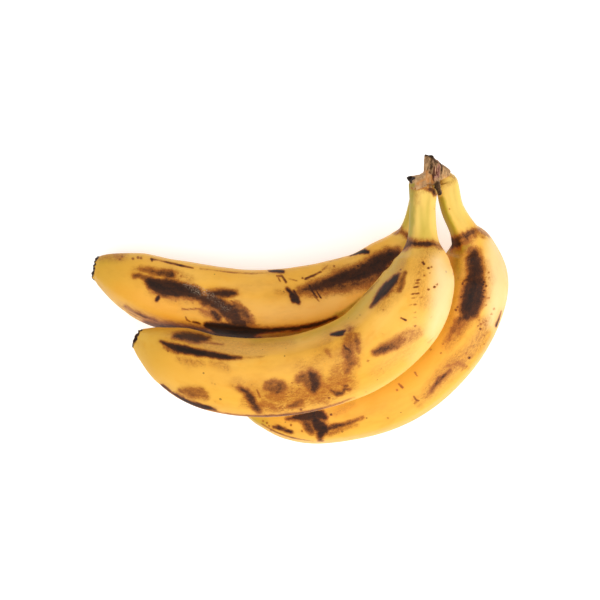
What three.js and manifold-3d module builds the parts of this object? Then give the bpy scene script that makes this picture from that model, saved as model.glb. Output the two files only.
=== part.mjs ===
// A small hand of three ripe plantain fingers, joined at their necks by a dry brown crown.
// Millimetres, +Z up. The hand lies on the plane Z = 0 under the middle of its own box: two
// fingers lie on the plane side by side, and the third lies on top, across the gap between them.

import * as THREE from 'three';
import { ConvexGeometry } from 'three/addons/geometries/ConvexGeometry.js';
import { mergeVertices } from 'three/addons/utils/BufferGeometryUtils.js';
import Module from 'manifold-3d';

const wasm = await Module();
wasm.setup();

// ---------------------------------------------------------------- driving dimensions

const JOIN_GAP = 0.3;      // between a neck's end and the crown that grows out of it
const STEPS_PER_FACE = 7;  // points across one of a finger's five faces
const RINGS = 40;          // rings along a finger
const EVEN_FACE = 72;      // degrees that a face takes up where all five are alike
const FACE_DENT = 0.07;    // how far such a face is below its ridges, as a share of the radius
const RIDGE_SOFTNESS = 0.1;
const TIP_DOME = 0.6;      // rise of the blunt blossom end
const LINE_TENSION = 0.5;  // how tightly a centre line turns at its stations
const MERGE_DISTANCE = 1e-4;

// Stations of a finger's centre line, from the crown to the blossom end: x, y, z, radius.
// Ridges are angles round that line, from its outer side (0) over the top (90).
const FRONT_FINGER = {
  name: 'finger_front',
  ridges: [22, 124, 190, 255, 318],
  stations: [
    [64, 58, 51.5, 7.6],
    [63.5, 46, 52, 6.8],
    [63.5, 30.5, 52.5, 8.5],
    [63.5, 19.5, 53, 15],
    [61, 7.5, 54, 19.5],
    [52, -8.5, 55, 22],
    [33, -26.3, 55.5, 21.5],
    [6.5, -37, 53, 21],
    [-20, -40.5, 49.5, 21],
    [-46, -38, 45.5, 20],
    [-65.5, -30, 41.5, 17],
    [-78.5, -23.5, 39, 10.5],
    [-86.5, -19.5, 38, 4.5],
  ],
};

const LEFT_FINGER = {
  name: 'finger_left',
  ridges: [57, 153, 215, 280, 345],
  stations: [
    [64.5, 59, 36.5, 5.8],
    [60.5, 40.5, 32, 6.4],
    [57.5, 30.5, 28, 10.5],
    [48.5, 19.5, 23.5, 15.5],
    [31, 6.5, 20.5, 19.5],
    [2.5, -1.5, 20, 21],
    [-29.5, -3.5, 20, 21],
    [-69.5, 3, 20, 20],
    [-88.7, 9.6, 19.5, 17.3],
    [-104, 15.6, 18.5, 10.3],
    [-111, 17.5, 18, 5.5],
  ],
};

const RIGHT_FINGER = {
  name: 'finger_right',
  ridges: [42, 130, 190, 255, 330],
  stations: [
    [77.2, 60.8, 41, 6.2],
    [80.4, 48, 37.5, 6.3],
    [87.3, 36, 32, 8],
    [91.5, 27.5, 27, 13.5],
    [92.5, 13, 22, 20.5],
    [89, -4.5, 20.5, 21.2],
    [78.1, -23.7, 20.5, 21.5],
    [59.8, -41.7, 20.5, 21.5],
    [37.8, -53, 20.5, 21],
    [11.2, -59.5, 19.5, 19],
    [-5.3, -60.9, 18, 15.5],
    [-19, -59, 17, 10.3],
    [-28, -56, 16.5, 6],
  ],
};

const FINGERS = [FRONT_FINGER, LEFT_FINGER, RIGHT_FINGER];

// The crown: a collar carries each neck on into one woody pad. x, y, z, radius.
const COLLARS = {
  finger_front: [[66.8, 62.1, 51, 5.3], [68.4, 65, 50, 4.6], [69, 68.8, 48, 4.3], [68.2, 71.6, 46, 3.5]],
  finger_left: [[65.8, 62.4, 38.5, 5.1], [68.3, 66, 41, 3.6], [69.5, 70, 43.5, 3.2]],
  finger_right: [[76.4, 63.8, 42, 4.9], [74.8, 66.5, 43, 3.6], [72.4, 69.3, 44, 2.7]],
};
const COLLAR_RINGS = 7;
const COLLAR_LEAD = 1.2;   // a collar runs on straight for this much before it bends

// Corners of the woody pad, which ends in the slanting cut where the hand left its stalk.
const PAD_CORNERS = [
  [65, 75.9, 47], [65.3, 75.7, 41.5], [68.6, 75.2, 48], [69.5, 74.6, 40], [72.7, 71.4, 49],
  [73.3, 71.6, 39], [75.6, 68.6, 47.5], [76.2, 69, 39.5], [78.6, 65.2, 46], [79, 65.4, 40.5],
  [64.6, 69.8, 50], [65.3, 70.4, 39.5], [64.4, 65.5, 50], [65.2, 65.5, 38], [67, 61, 55],
  [71.5, 61.5, 52], [76, 63.5, 47], [70, 63, 36.5], [75.5, 64.5, 38],
];

// A dried flap of bract on the left neck, and a shrivelled stub between the other two necks.
const FLAP_CORNERS = [
  [55.4, 64.4, 42], [56.6, 65.2, 44.5], [61.5, 65.2, 45.5], [65, 64.6, 44], [65, 63.5, 39],
  [57.8, 60.8, 43.5], [59.4, 60.6, 40], [63.5, 61, 44], [57.2, 63.4, 39.5],
];
const STUB_STATIONS = [
  [70, 62.5, 54, 2.2], [70.7, 59.5, 57.6, 1.6], [71.1, 57, 58.4, 1.3], [71.8, 55, 57.6, 1.5],
  [72, 54.2, 57, 0.8],
];
const STUB_RIDGES = [0, 72, 144, 216, 288];
const STUB_RINGS = 5;
const STUB_DOME = 0.5;

const PEEL = { color: 0xf2b63c, roughness: 0.45, metalness: 0 };
const DRY_CROWN = { color: 0x8a6240, roughness: 0.8, metalness: 0 };

// ---------------------------------------------------------------- a ridged, swept finger

// Share of the full radius at a position across a face (0 at one ridge, 1 at the next).
function faceShare(across, faceAngle) {
  const bow = Math.sin(Math.PI * across);
  const soft = RIDGE_SOFTNESS;
  const hollow = (Math.hypot(bow, soft) - soft) / (Math.hypot(1, soft) - soft);
  return 1 - FACE_DENT * (faceAngle / EVEN_FACE) * hollow;
}

// The angle and share of the radius for each point of a ring, so that points lie on the ridges.
function ringOutline(ridges) {
  const outline = [];
  for (let face = 0; face < ridges.length; face += 1) {
    const from = ridges[face];
    const to = face + 1 < ridges.length ? ridges[face + 1] : ridges[0] + 360;
    for (let step = 0; step < STEPS_PER_FACE; step += 1) {
      const across = step / STEPS_PER_FACE;
      const angle = THREE.MathUtils.degToRad(from + (to - from) * across);
      outline.push({ angle, share: faceShare(across, to - from) });
    }
  }
  return outline;
}

// A closed tube whose centre and radius follow the stations, made by bending a plain cylinder.
function sweptGeometry(stations, ridges, rings, dome) {
  const outline = ringOutline(ridges);
  const steps = outline.length;
  const line = new THREE.CatmullRomCurve3(
    stations.map(([x, y, z]) => new THREE.Vector3(x, y, z)), false, 'catmullrom', LINE_TENSION);
  const girth = new THREE.CatmullRomCurve3(
    stations.map(([, , , radius]) => new THREE.Vector3(radius, 0, 0)), false, 'catmullrom', LINE_TENSION);
  const up = new THREE.Vector3(0, 0, 1);
  const geometry = new THREE.CylinderGeometry(1, 1, 1, steps, rings);
  const position = geometry.attributes.position;
  const vertex = new THREE.Vector3();
  for (let i = 0; i < position.count; i += 1) {
    vertex.fromBufferAttribute(position, i);
    const t = line.getUtoTmapping(THREE.MathUtils.clamp(vertex.y + 0.5, 0, 1));
    const spread = Math.hypot(vertex.x, vertex.z);
    const turn = Math.round((Math.atan2(vertex.x, vertex.z) / (2 * Math.PI)) * steps);
    const { angle, share } = outline[((turn % steps) + steps) % steps];
    const centre = line.getPoint(t);
    const ahead = line.getTangent(t);
    const side = new THREE.Vector3().crossVectors(up, ahead).normalize();
    const top = new THREE.Vector3().crossVectors(ahead, side);
    const reach = spread * share * girth.getPoint(t).x;
    centre.addScaledVector(side, reach * Math.cos(angle));
    centre.addScaledVector(top, reach * Math.sin(angle));
    const isEndCentre = spread < 0.5 && vertex.y > 0;
    if (isEndCentre) centre.addScaledVector(ahead, dome);
    centre.z = Math.max(centre.z, 0);
    position.setXYZ(i, centre.x, centre.y, centre.z);
  }
  return closed(geometry);
}

// The same geometry with only positions and shared vertices merged, so that it is one closed body.
function closed(geometry) {
  geometry.deleteAttribute('normal');
  geometry.deleteAttribute('uv');
  return mergeVertices(geometry, MERGE_DISTANCE);
}

// ---------------------------------------------------------------- the crown

function solidFrom(geometry) {
  return new wasm.Manifold(new wasm.Mesh({
    numProp: 3,
    vertProperties: Float32Array.from(geometry.attributes.position.array),
    triVerts: Uint32Array.from(geometry.index.array),
  }));
}

function geometryFrom(solid) {
  const mesh = solid.getMesh();
  const geometry = new THREE.BufferGeometry();
  geometry.setAttribute('position', new THREE.BufferAttribute(mesh.vertProperties, 3));
  geometry.setIndex(new THREE.BufferAttribute(mesh.triVerts, 1));
  return geometry;
}

function hullOf(corners) {
  return closed(new ConvexGeometry(corners.map(([x, y, z]) => new THREE.Vector3(x, y, z))));
}

// A collar starts a small gap past the end of its neck, at the neck's own girth.
function collarGeometry(finger) {
  const [first, second] = finger.stations;
  const end = new THREE.Vector3(...first);
  const away = end.clone().sub(new THREE.Vector3(...second)).normalize();
  end.addScaledVector(away, JOIN_GAP);
  const start = [...end.toArray(), first[3]];
  const straightOn = [...end.addScaledVector(away, COLLAR_LEAD).toArray(), first[3]];
  const stations = [start, straightOn, ...COLLARS[finger.name]].reverse();
  return sweptGeometry(stations, finger.ridges, COLLAR_RINGS, 0);
}

function crownGeometry() {
  const pieces = FINGERS.map(collarGeometry);
  pieces.push(hullOf(PAD_CORNERS), hullOf(FLAP_CORNERS));
  pieces.push(sweptGeometry(STUB_STATIONS, STUB_RIDGES, STUB_RINGS, STUB_DOME));
  return geometryFrom(pieces.map(solidFrom).reduce((all, solid) => all.add(solid)));
}

// ---------------------------------------------------------------- the hand

function node(name, geometry, finish) {
  const mesh = new THREE.Mesh(geometry, new THREE.MeshStandardMaterial(finish));
  mesh.name = name;
  return mesh;
}

const hand = new THREE.Group();
for (const finger of FINGERS) {
  const geometry = sweptGeometry(finger.stations, finger.ridges, RINGS, TIP_DOME);
  hand.add(node(finger.name, geometry, PEEL));
}
hand.add(node('crown', crownGeometry(), DRY_CROWN));

export default hand;
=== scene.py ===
import math

import bpy
import numpy as np
from bpy.props import FloatProperty, FloatVectorProperty, IntProperty, PointerProperty
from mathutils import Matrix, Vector, noise


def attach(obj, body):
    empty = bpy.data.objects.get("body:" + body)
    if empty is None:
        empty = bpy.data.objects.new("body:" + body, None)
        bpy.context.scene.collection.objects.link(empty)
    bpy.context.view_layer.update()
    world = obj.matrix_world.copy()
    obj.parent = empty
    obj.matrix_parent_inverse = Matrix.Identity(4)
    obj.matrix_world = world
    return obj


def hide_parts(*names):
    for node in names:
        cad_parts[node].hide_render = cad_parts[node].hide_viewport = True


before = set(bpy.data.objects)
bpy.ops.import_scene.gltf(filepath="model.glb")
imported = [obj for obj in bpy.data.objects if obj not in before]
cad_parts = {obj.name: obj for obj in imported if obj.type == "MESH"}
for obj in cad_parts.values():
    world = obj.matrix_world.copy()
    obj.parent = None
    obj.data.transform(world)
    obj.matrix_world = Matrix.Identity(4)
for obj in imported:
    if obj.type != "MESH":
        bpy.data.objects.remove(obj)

bl_info = {
    "name": "Ripe Plantain Hand",
    "version": (1, 0, 0),
    "blender": (4, 5, 0),
    "location": "View3D > Sidebar > Plantain",
    "description": "Builds a small hand of ripe, bruised plantain fingers on a dry crown",
    "category": "Add Mesh",
}

MM = 0.001

# ------------------------------------------------------------------ shape of the fruit, millimetres

# Each finger's stations run from the crown to the blossom end: x, y, z, radius.
# Its ridges are angles round that line, from the outer side (0) over the top (90).
FINGERS = {
    "finger_front": {
        "ridges": (22, 124, 190, 255, 318),
        "stations": (
            (64, 58, 51.5, 7.6), (63.5, 46, 52, 6.8), (63.5, 30.5, 52.5, 8.5), (63.5, 19.5, 53, 15),
            (61, 7.5, 54, 19.5), (52, -8.5, 55, 22), (33, -26.3, 55.5, 21.5), (6.5, -37, 53, 21),
            (-20, -40.5, 49.5, 21), (-46, -38, 45.5, 20), (-65.5, -30, 41.5, 17),
            (-78.5, -23.5, 39, 10.5), (-86.5, -19.5, 38, 4.5),
        ),
    },
    "finger_left": {
        "ridges": (57, 153, 215, 280, 345),
        "stations": (
            (64.5, 59, 36.5, 5.8), (60.5, 40.5, 32, 6.4), (57.5, 30.5, 28, 10.5),
            (48.5, 19.5, 23.5, 15.5), (31, 6.5, 20.5, 19.5), (2.5, -1.5, 20, 21),
            (-29.5, -3.5, 20, 21), (-69.5, 3, 20, 20),
            (-88.7, 9.6, 19.5, 17.3), (-104, 15.6, 18.5, 10.3), (-111, 17.5, 18, 5.5),
        ),
    },
    "finger_right": {
        "ridges": (42, 130, 190, 255, 330),
        "stations": (
            # the first two carry this neck on inside the crown
            (75.3, 65.2, 42.4, 3.6), (76.4, 63.3, 41.8, 5.0), (77.2, 60.8, 41, 6.2),
            (80.4, 48, 37.5, 6.3), (87.3, 36, 32, 8), (91.5, 27.5, 27, 13.5),
            (92.5, 13, 22, 20.5), (89, -4.5, 20.5, 21.2), (78.1, -23.7, 20.5, 21.5),
            (59.8, -41.7, 20.5, 21.5),
            (37.8, -53, 20.5, 21), (11.2, -59.5, 19.5, 19), (-5.3, -60.9, 18, 15.5), (-19, -59, 17, 10.3),
            (-28, -56, 16.5, 6),
        ),
    },
}
EVEN_FACE = 72           # degrees that a face takes up where all five are alike
FACE_DENT = 0.07         # how far such a face is below its ridges, as a share of the radius
RIDGE_SOFTNESS = 0.1
NECK_REACH = 1.2         # how far a neck runs on inside the crown
SWEEP_SAMPLES = 1201     # places along a centre line where it is worked out
MERGE_DISTANCE = 2e-6    # metres; closes the seam of a rolled tube

# The eye that sees the marks: this many metres straight above the plane, with a square view in pixels.
EYE_HEIGHT = 0.9
VIEW_PIXELS = 600
LENS_MM = 98.3
SENSOR_MM = 36.0


# ------------------------------------------------------------------ settings

def colour_setting(name, description, value):
    return FloatVectorProperty(
        name=name, description=description, subtype="COLOR", size=4, min=0, max=1, default=(*value, 1.0))


def from_hex(text):
    """A hex colour as it is seen, turned to the linear colour that nodes take."""
    parts = [int(text[i:i + 2], 16) / 255 for i in (0, 2, 4)]
    return tuple(p / 12.92 if p <= 0.04045 else ((p + 0.055) / 1.055) ** 2.4 for p in parts)


class PlantainPeel(bpy.types.PropertyGroup):
    """Sizes and colours of the peel"""
    ripe: colour_setting("Ripe", "Main yellow of the peel", from_hex("F0B03E"))
    pale: colour_setting("Pale", "Paler yellow patches", from_hex("FBC45C"))
    # Cream is a painted highlight, laid where the key light strikes the sides and as a bright rim along a
    # lower edge.
    painted_highlight: colour_setting("Cream", "Palest side of the peel", from_hex("FFE2AE"))
    # Deep orange is also laid as painted shade, with light thrown back from the front finger, on the right
    # finger beside it.
    deep: colour_setting("Deep", "Orange yellow patches", from_hex("EE9E1E"))
    neck: colour_setting("Neck", "Pale yellow of the necks", from_hex("F0CE6A"))
    # Green is also laid as olive painted shade in the gaps between fingers and on neck faces turned from the
    # light.
    green: colour_setting("Green", "Green left along the necks", from_hex("A09418"))
    tan: colour_setting("Tan", "Edge of a bruise", from_hex("A65C18"))
    brown: colour_setting("Brown", "Body of a bruise", from_hex("4E2609"))
    black: colour_setting("Black", "Core of a bruise", from_hex("1C0B03"))
    # This pale crackle is a painted sheen on the left finger's long bruise, light glinting on wrinkled skin,
    # and the pale dry skin under the crown.
    sheen_and_pale_skin_tint: colour_setting("Dust", "Pale crackled skin on a bruise", from_hex("B8A288"))
    rings: IntProperty(name="Rings", description="Rings along a finger", default=460, min=40, max=500)
    points: IntProperty(name="Points", description="Points round a finger", default=214, min=40, max=216)
    unevenness: FloatProperty(
        name="Unevenness", description="Height of the soft lumps in the peel", default=0.0003, unit="LENGTH")


class PlantainCrown(bpy.types.PropertyGroup):
    """Sizes and colours of the crown"""
    tan: colour_setting("Tan", "Dry skin of the crown", from_hex("AE865C"))
    pale: colour_setting("Pale", "Paler dry skin and loose threads", from_hex("DAAC76"))
    orange: colour_setting("Orange", "Orange brown where the necks join", from_hex("CC8A4A"))
    brown: colour_setting("Brown", "Dried places and the stub", from_hex("57391C"))
    purple: colour_setting("Purple", "Torn fibres in the middle", from_hex("5A2620"))
    pink: colour_setting("Pink", "Lighter threads in the torn part", from_hex("C48A74"))
    black: colour_setting("Black", "Dried edges", from_hex("170C07"))
    voxel: FloatProperty(
        name="Voxel", description="Size of the mesh that the crown is worked in", default=0.00027,
        unit="LENGTH")
    fibre: FloatProperty(
        name="Fibre", description="Depth of the dry fibres", default=0.0006, unit="LENGTH")


class PlantainStage(bpy.types.PropertyGroup):
    """Floor, light and eye"""
    floor: colour_setting("Floor", "Colour of the floor", (0.8, 0.8, 0.8))
    floor_glow: FloatProperty(name="Floor glow", description="Light that the floor gives off", default=0.6)
    key_power: FloatProperty(name="Key", description="Power of the key light", default=11.4, unit="POWER")
    fill_power: FloatProperty(name="Fill", description="Power of the fill light", default=7.3, unit="POWER")
    sky: FloatProperty(name="Sky", description="Strength of the light from all round", default=0.5)


# ------------------------------------------------------------------ geometry of a ridged, swept finger

def spline(stations, t):
    """Rows on a smooth line through the stations, at parameters 0 to 1."""
    p = np.asarray(stations, float)
    last = len(p) - 1
    q = np.vstack([2 * p[0] - p[1], p, 2 * p[-1] - p[-2]])
    u = np.clip(t, 0, 1) * last
    i = np.minimum(u.astype(int), last - 1)
    w = (u - i)[:, None]
    a, b, c, d = q[i], q[i + 1], q[i + 2], q[i + 3]
    leave, arrive = (c - a) / 2, (d - b) / 2
    cubic, square = 2 * b - 2 * c + leave + arrive, 3 * c - 3 * b - 2 * leave - arrive
    return cubic * w ** 3 + square * w ** 2 + leave * w + b


class Sweep:
    """The centre line of a finger or collar, with its radius and directions at any distance along it."""

    def __init__(self, stations):
        self.t = np.linspace(0, 1, SWEEP_SAMPLES)
        rows = spline(stations, self.t)
        self.centre = rows[:, :3]
        self.radius = rows[:, 3]
        steps = np.linalg.norm(np.diff(self.centre, axis=0), axis=1)
        self.far = np.concatenate([[0], np.cumsum(steps)])
        self.length = self.far[-1]
        ahead = np.gradient(self.centre, axis=0)
        self.ahead = ahead / np.linalg.norm(ahead, axis=1)[:, None]

    def at(self, far):
        """Centre, radius, ahead, side and top at distances along the line, which runs straight on past
        its ends."""
        inside = np.clip(far, 0, self.length)
        centre, ahead = (
            np.stack([np.interp(inside, self.far, column[:, k]) for k in range(3)], -1)
            for column in (self.centre, self.ahead))
        ahead /= np.linalg.norm(ahead, axis=-1)[..., None]
        centre = centre + ahead * (far - inside)[..., None]
        side = np.cross([0.0, 0.0, 1.0], ahead)
        side /= np.linalg.norm(side, axis=-1)[..., None]
        return centre, np.interp(inside, self.far, self.radius), ahead, side, np.cross(ahead, side)


def ridged(ridges, around):
    """Angle, and share of the full radius, at fractions of the way round."""
    edges = np.radians(np.append(ridges, ridges[0] + 360))
    place = (around % 1) * len(ridges)
    face = np.minimum(place.astype(int), len(ridges) - 1)
    across = place - face
    width = edges[face + 1] - edges[face]
    bow = np.sin(np.pi * across)
    soft = RIDGE_SOFTNESS
    hollow = (np.hypot(bow, soft) - soft) / (np.hypot(1, soft) - soft)
    return edges[face] + width * across, 1 - FACE_DENT * (width / math.radians(EVEN_FACE)) * hollow


def soft_noise(places, size, seed=0.0):
    """Smooth noise from -1 to 1 at places in millimetres, with bumps about size millimetres across."""
    shift = Vector((seed, seed * 1.7, -seed))
    return np.array([noise.noise(Vector(p) / size + shift) for p in places])


def rise(share):
    """0 below 0, 1 above 1, smooth between."""
    held = np.clip(share, 0, 1)
    return held * held * (3 - 2 * held)


# ------------------------------------------------------------------ mesh helpers

def deselect_all():
    if bpy.context.object and bpy.context.object.mode != "OBJECT":
        bpy.ops.object.mode_set(mode="OBJECT")
    bpy.ops.object.select_all(action="DESELECT")


def make_active(piece):
    deselect_all()
    piece.select_set(True)
    bpy.context.view_layer.objects.active = piece


def vertex_vectors(mesh, kind):
    flat = np.empty(len(mesh.vertices) * 3, np.float32)
    mesh.vertices.foreach_get(kind, flat)
    return flat.reshape(-1, 3).astype(float)


def vertex_places(mesh):
    return vertex_vectors(mesh, "co")


def vertex_normals(mesh):
    return vertex_vectors(mesh, "normal")


def set_places(mesh, places):
    mesh.vertices.foreach_set("co", places.astype(np.float32).ravel())
    mesh.update()


def write_attribute(mesh, name, values):
    kind = "FLOAT_VECTOR" if np.ndim(values) == 2 else "FLOAT"
    made = mesh.attributes.new(name, kind, "POINT")
    made.data.foreach_set("vector" if kind == "FLOAT_VECTOR" else "value", values.astype(np.float32).ravel())


def read_vectors(mesh, name):
    flat = np.empty(len(mesh.vertices) * 3, np.float32)
    mesh.attributes[name].data.foreach_get("vector", flat)
    return flat.reshape(-1, 3).astype(float)


def apply_modifiers(piece):
    make_active(piece)
    for modifier in list(piece.modifiers):
        bpy.ops.object.modifier_apply(modifier=modifier.name)


def edit_mesh(piece, *steps):
    """Runs edit mode operators on all of a piece."""
    make_active(piece)
    bpy.ops.object.mode_set(mode="EDIT")
    bpy.ops.mesh.select_all(action="SELECT")
    for step in steps:
        step()
    bpy.ops.object.mode_set(mode="OBJECT")


def swept_piece(name, stations, ridges, rings, points, profile):
    """Rolls a flat grid into a closed tube. For each fraction of the way along, profile gives the distance
    along the centre line, the share of the radius, and a length that is taken off the radius."""
    deselect_all()
    bpy.ops.mesh.primitive_grid_add(x_subdivisions=points, y_subdivisions=rings, size=1)
    piece = bpy.context.object
    piece.name = piece.data.name = name
    mesh = piece.data
    flat = vertex_places(mesh)
    angle, share = ridged(ridges, flat[:, 0] + 0.5)
    sweep = Sweep(stations)
    far, scale, less = profile(flat[:, 1] + 0.5, sweep)
    centre, radius, _, side, top = sweep.at(far)
    reach = np.maximum(radius * scale * share - less, 0)
    across, up = np.cos(angle), np.sin(angle)
    places = centre + reach[:, None] * (across[:, None] * side + up[:, None] * top)
    straight = np.stack([reach * across, reach * up, far], -1)
    set_places(mesh, places * MM)
    write_attribute(mesh, "straight", straight * MM)
    edit_mesh(
        piece,
        lambda: bpy.ops.mesh.remove_doubles(threshold=MERGE_DISTANCE),
        lambda: bpy.ops.mesh.normals_make_consistent(inside=False))
    bpy.ops.object.shade_smooth()
    return piece, sweep


# ------------------------------------------------------------------ painting marks onto a piece

PIXEL_MM = 0.522         # a pixel's size at the fruit's height
SEEN_SCALE = PIXEL_MM * VIEW_PIXELS * LENS_MM / SENSOR_MM
NEAR_SPOT = 0.35         # vertices this close behind the nearest one are told apart by height
TURNED_AWAY = 1000       # added to the distance of a vertex that faces the other way
FAR_OUTSIDE = -99.0      # a vertex's depth in a mark before any part of the mark is measured
SHORT_RUN = 1e-9         # keeps a mark of one spot from dividing by nothing
EDGE_SPREAD = 1.9        # half width of a bruise's edge where softness is 1
HALO_REACH, HALO_SPREAD = 3.5, 5
ALONG_GRAIN = (1, 1, 0.6)
WIDE_WANDER, FINE_WANDER = (3.4, 21.0), (1.4, 33.0)      # size and seed of the wander of edges
FINE_SHARE = 0.7
CLOUD_WANDER = 0.5
FINGER_STEEP, CROWN_STEEP = 0.42, 0.15
THIN = {"soft": 0.26, "ragged": 0.12, "halo": 0.2, "grow": 0.0}
THIN_DARKNESS = 0.9
DASH_TILT, DASH_WIDTH, DASH_DARKNESS = 0.3, 0.34, 1.15


class Paint:
    """Marks on one piece. A mark is a line of spots that the eye sees from above. Each spot is dropped onto
    the piece, and the mark is measured over it. steep says how soon a mark ends down a steep side."""

    def __init__(self, piece, run_along, steep):
        self.piece = piece
        self.steep = steep
        self.places = vertex_places(piece.data) / MM
        self.up = vertex_normals(piece.data)[:, 2]
        self.seen = self.places[:, :2] / (EYE_HEIGHT / MM - self.places[:, 2:]) * SEEN_SCALE
        along = read_vectors(piece.data, run_along) / MM * ALONG_GRAIN
        self.uneven = soft_noise(along, *WIDE_WANDER) + FINE_SHARE * soft_noise(along, *FINE_WANDER)
        self.layers = {}

    def drop(self, spot, under):
        """The place on the piece that the eye sees at a spot, or the one straight under it."""
        side = -1 if under else 1
        gap = np.hypot(*(self.seen - spot).T) + TURNED_AWAY * (self.up * side < 0)
        near = np.flatnonzero(gap < gap.min() + NEAR_SPOT)
        return self.places[near[np.argmax(side * self.places[near, 2])]]

    def measure(self, course, under):
        """How far each vertex lies inside a mark, in millimetres, and its share of the way along it. A mark
        has the outline that the eye sees, but reaches only so far down a steep side. One underneath is
        measured over the surface."""
        half = VIEW_PIXELS / 2
        spots = np.array([((a - half) * PIXEL_MM, (half - d) * PIXEL_MM) for a, d, _ in course])
        points = np.array([self.drop(spot, under) for spot in spots])
        widths = [width for *_, width in course]
        space, ends = (self.places, points) if under else (self.seen, spots)
        inside = np.full(len(space), FAR_OUTSIDE)
        share = np.zeros(len(space))
        spans = max(len(ends) - 1, 1)
        for k in range(spans):
            after = min(k + 1, len(ends) - 1)
            run = ends[after] - ends[k]
            part = np.clip(((space - ends[k]) @ run) / max(float(run @ run), SHORT_RUN), 0, 1)
            gap = np.linalg.norm(space - ends[k] - part[:, None] * run, axis=1)
            nearest = points[k] + part[:, None] * (points[after] - points[k])
            gap = np.maximum(gap, self.steep * np.linalg.norm(self.places - nearest, axis=1))
            depth = widths[k] + (widths[after] - widths[k]) * part - gap
            share = np.where(depth > inside, (k + part) / spans, share)
            inside = np.maximum(inside, depth)
        return inside, share

    def add(self, layer, values):
        self.layers[layer] = np.maximum(self.layers.get(layer, 0.0), values)

    def bruise(self, *course, dark=1.0, soft=1.0, ragged=0.6, fade=1.0, halo=0.4, grow=0.12, under=False):
        """A bruised place with an uneven outline. fade is the share of darkness left at its last point."""
        inside, share = self.measure(course, under)
        strength = dark * (1 + (fade - 1) * share)
        spread = EDGE_SPREAD * soft
        self.add("bruise", rise((inside + ragged * self.uneven) / (2 * spread) + 0.5 + grow) * strength)
        self.add("stain", rise((inside + HALO_REACH) / HALO_SPREAD) * halo * strength)

    def stain(self, *course, strength=0.5, soft=3.0, layer="stain", under=False):
        """A cloud without an edge."""
        inside, _ = self.measure(course, under)
        self.add(layer, rise((inside + CLOUD_WANDER * self.uneven) / (2 * soft) + 0.5) * strength)

    def line(self, *course, dark=0.8, fade=1.0, under=False):
        """A thin dry line."""
        self.bruise(*course, dark=THIN_DARKNESS * dark, fade=fade, under=under, **THIN)

    def flecks(self, *spots, size=0.5, dark=0.75, under=False):
        """Small dark dots."""
        for across, down in spots:
            self.line((across, down, size), dark=dark, under=under)

    def dashes(self, *spots, under=False):
        """Short strokes, nearly level."""
        for across, down, half, dark in spots:
            start = across - half, down + DASH_TILT, DASH_WIDTH
            end = across + half, down - DASH_TILT, DASH_WIDTH
            self.line(start, end, dark=DASH_DARKNESS * dark, under=under)

    def mark(self, marks, **where):
        """Paints a group of marks."""
        for kind, spots, look in marks:
            getattr(self, kind)(*spots, **look, **where)

    def write(self, *names):
        for name in names:
            write_attribute(self.piece.data, name, self.layers.get(name, np.zeros(len(self.places))))


# ------------------------------------------------------------------ the marks

def kind_of_mark(kind):
    """A short way to write marks of one kind: their spots, then how they look."""
    def mark(*spots, **look):
        return kind, spots, look

    return mark


bruise, stain, line, flecks, dashes = map(kind_of_mark, ("bruise", "stain", "line", "flecks", "dashes"))

# A spot is pixel across, pixel down and half width in millimetres. A fleck has no width of its own, and
# a dash has a half length in pixels and a darkness. Every mark was placed one by one.
FRONT_BLOSSOM_END = (
    bruise((161, 341.5, 0.2), (167, 344.5, 0.8), (175, 347.3, 1.6), (184, 349.5, 1.9), (193, 351.5, 1.6),
        (203, 353.3, 1.4), (213, 355, 1.3), (223, 356.6, 1.1), (231, 357.6, 0.7), (241, 357.7, 0.2),
        soft=0.8, ragged=0.2),
    bruise((240, 358, 0.3), (252, 357.5, 0.1), (264, 356.5, 0.1), dark=0.4, soft=0.5, ragged=0.1),
    bruise((165, 347, 0.8), (172, 350, 0.8), (180, 352, 0.7), dark=0.45, soft=0.8),
    flecks((168, 351), (174, 351.5), (178, 353), size=0.45),
    bruise((175, 336, 1.0), (182, 336, 1.9), (190, 336.8, 2.6), (198, 337.5, 2.5), (207, 338, 1.2),
        dark=0.8, soft=1.3, ragged=0.4),
    bruise((200, 341.5, 0.5), (212, 343, 0.5), (223, 344.5, 0.3), dark=0.5, soft=0.5, ragged=0.3),
    stain((178, 359, 1), (190, 362, 2), (202, 363, 1.5), strength=0.6, soft=2),
    stain((212, 362, 1.5), (224, 364, 2), (228, 370, 1), strength=0.5, soft=2),
    bruise((181, 391, 1.4), (190, 393, 2.8), (199, 393, 3.0), (204, 396, 2.2), dark=0.46, soft=1.2),
    bruise((176, 394, 0.7), (184, 398, 0.8), dark=0.6, soft=0.6),
    bruise((162, 385.5, 0.3), (172, 393, 0.6), (184, 400, 0.7), (196, 404.5, 0.8), (205, 407, 1.1),
        (216, 410, 0.3), dark=0.9, soft=0.5, ragged=0.4),
    flecks((212, 383), (215, 384), size=0.5, dark=0.35),
)
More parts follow.
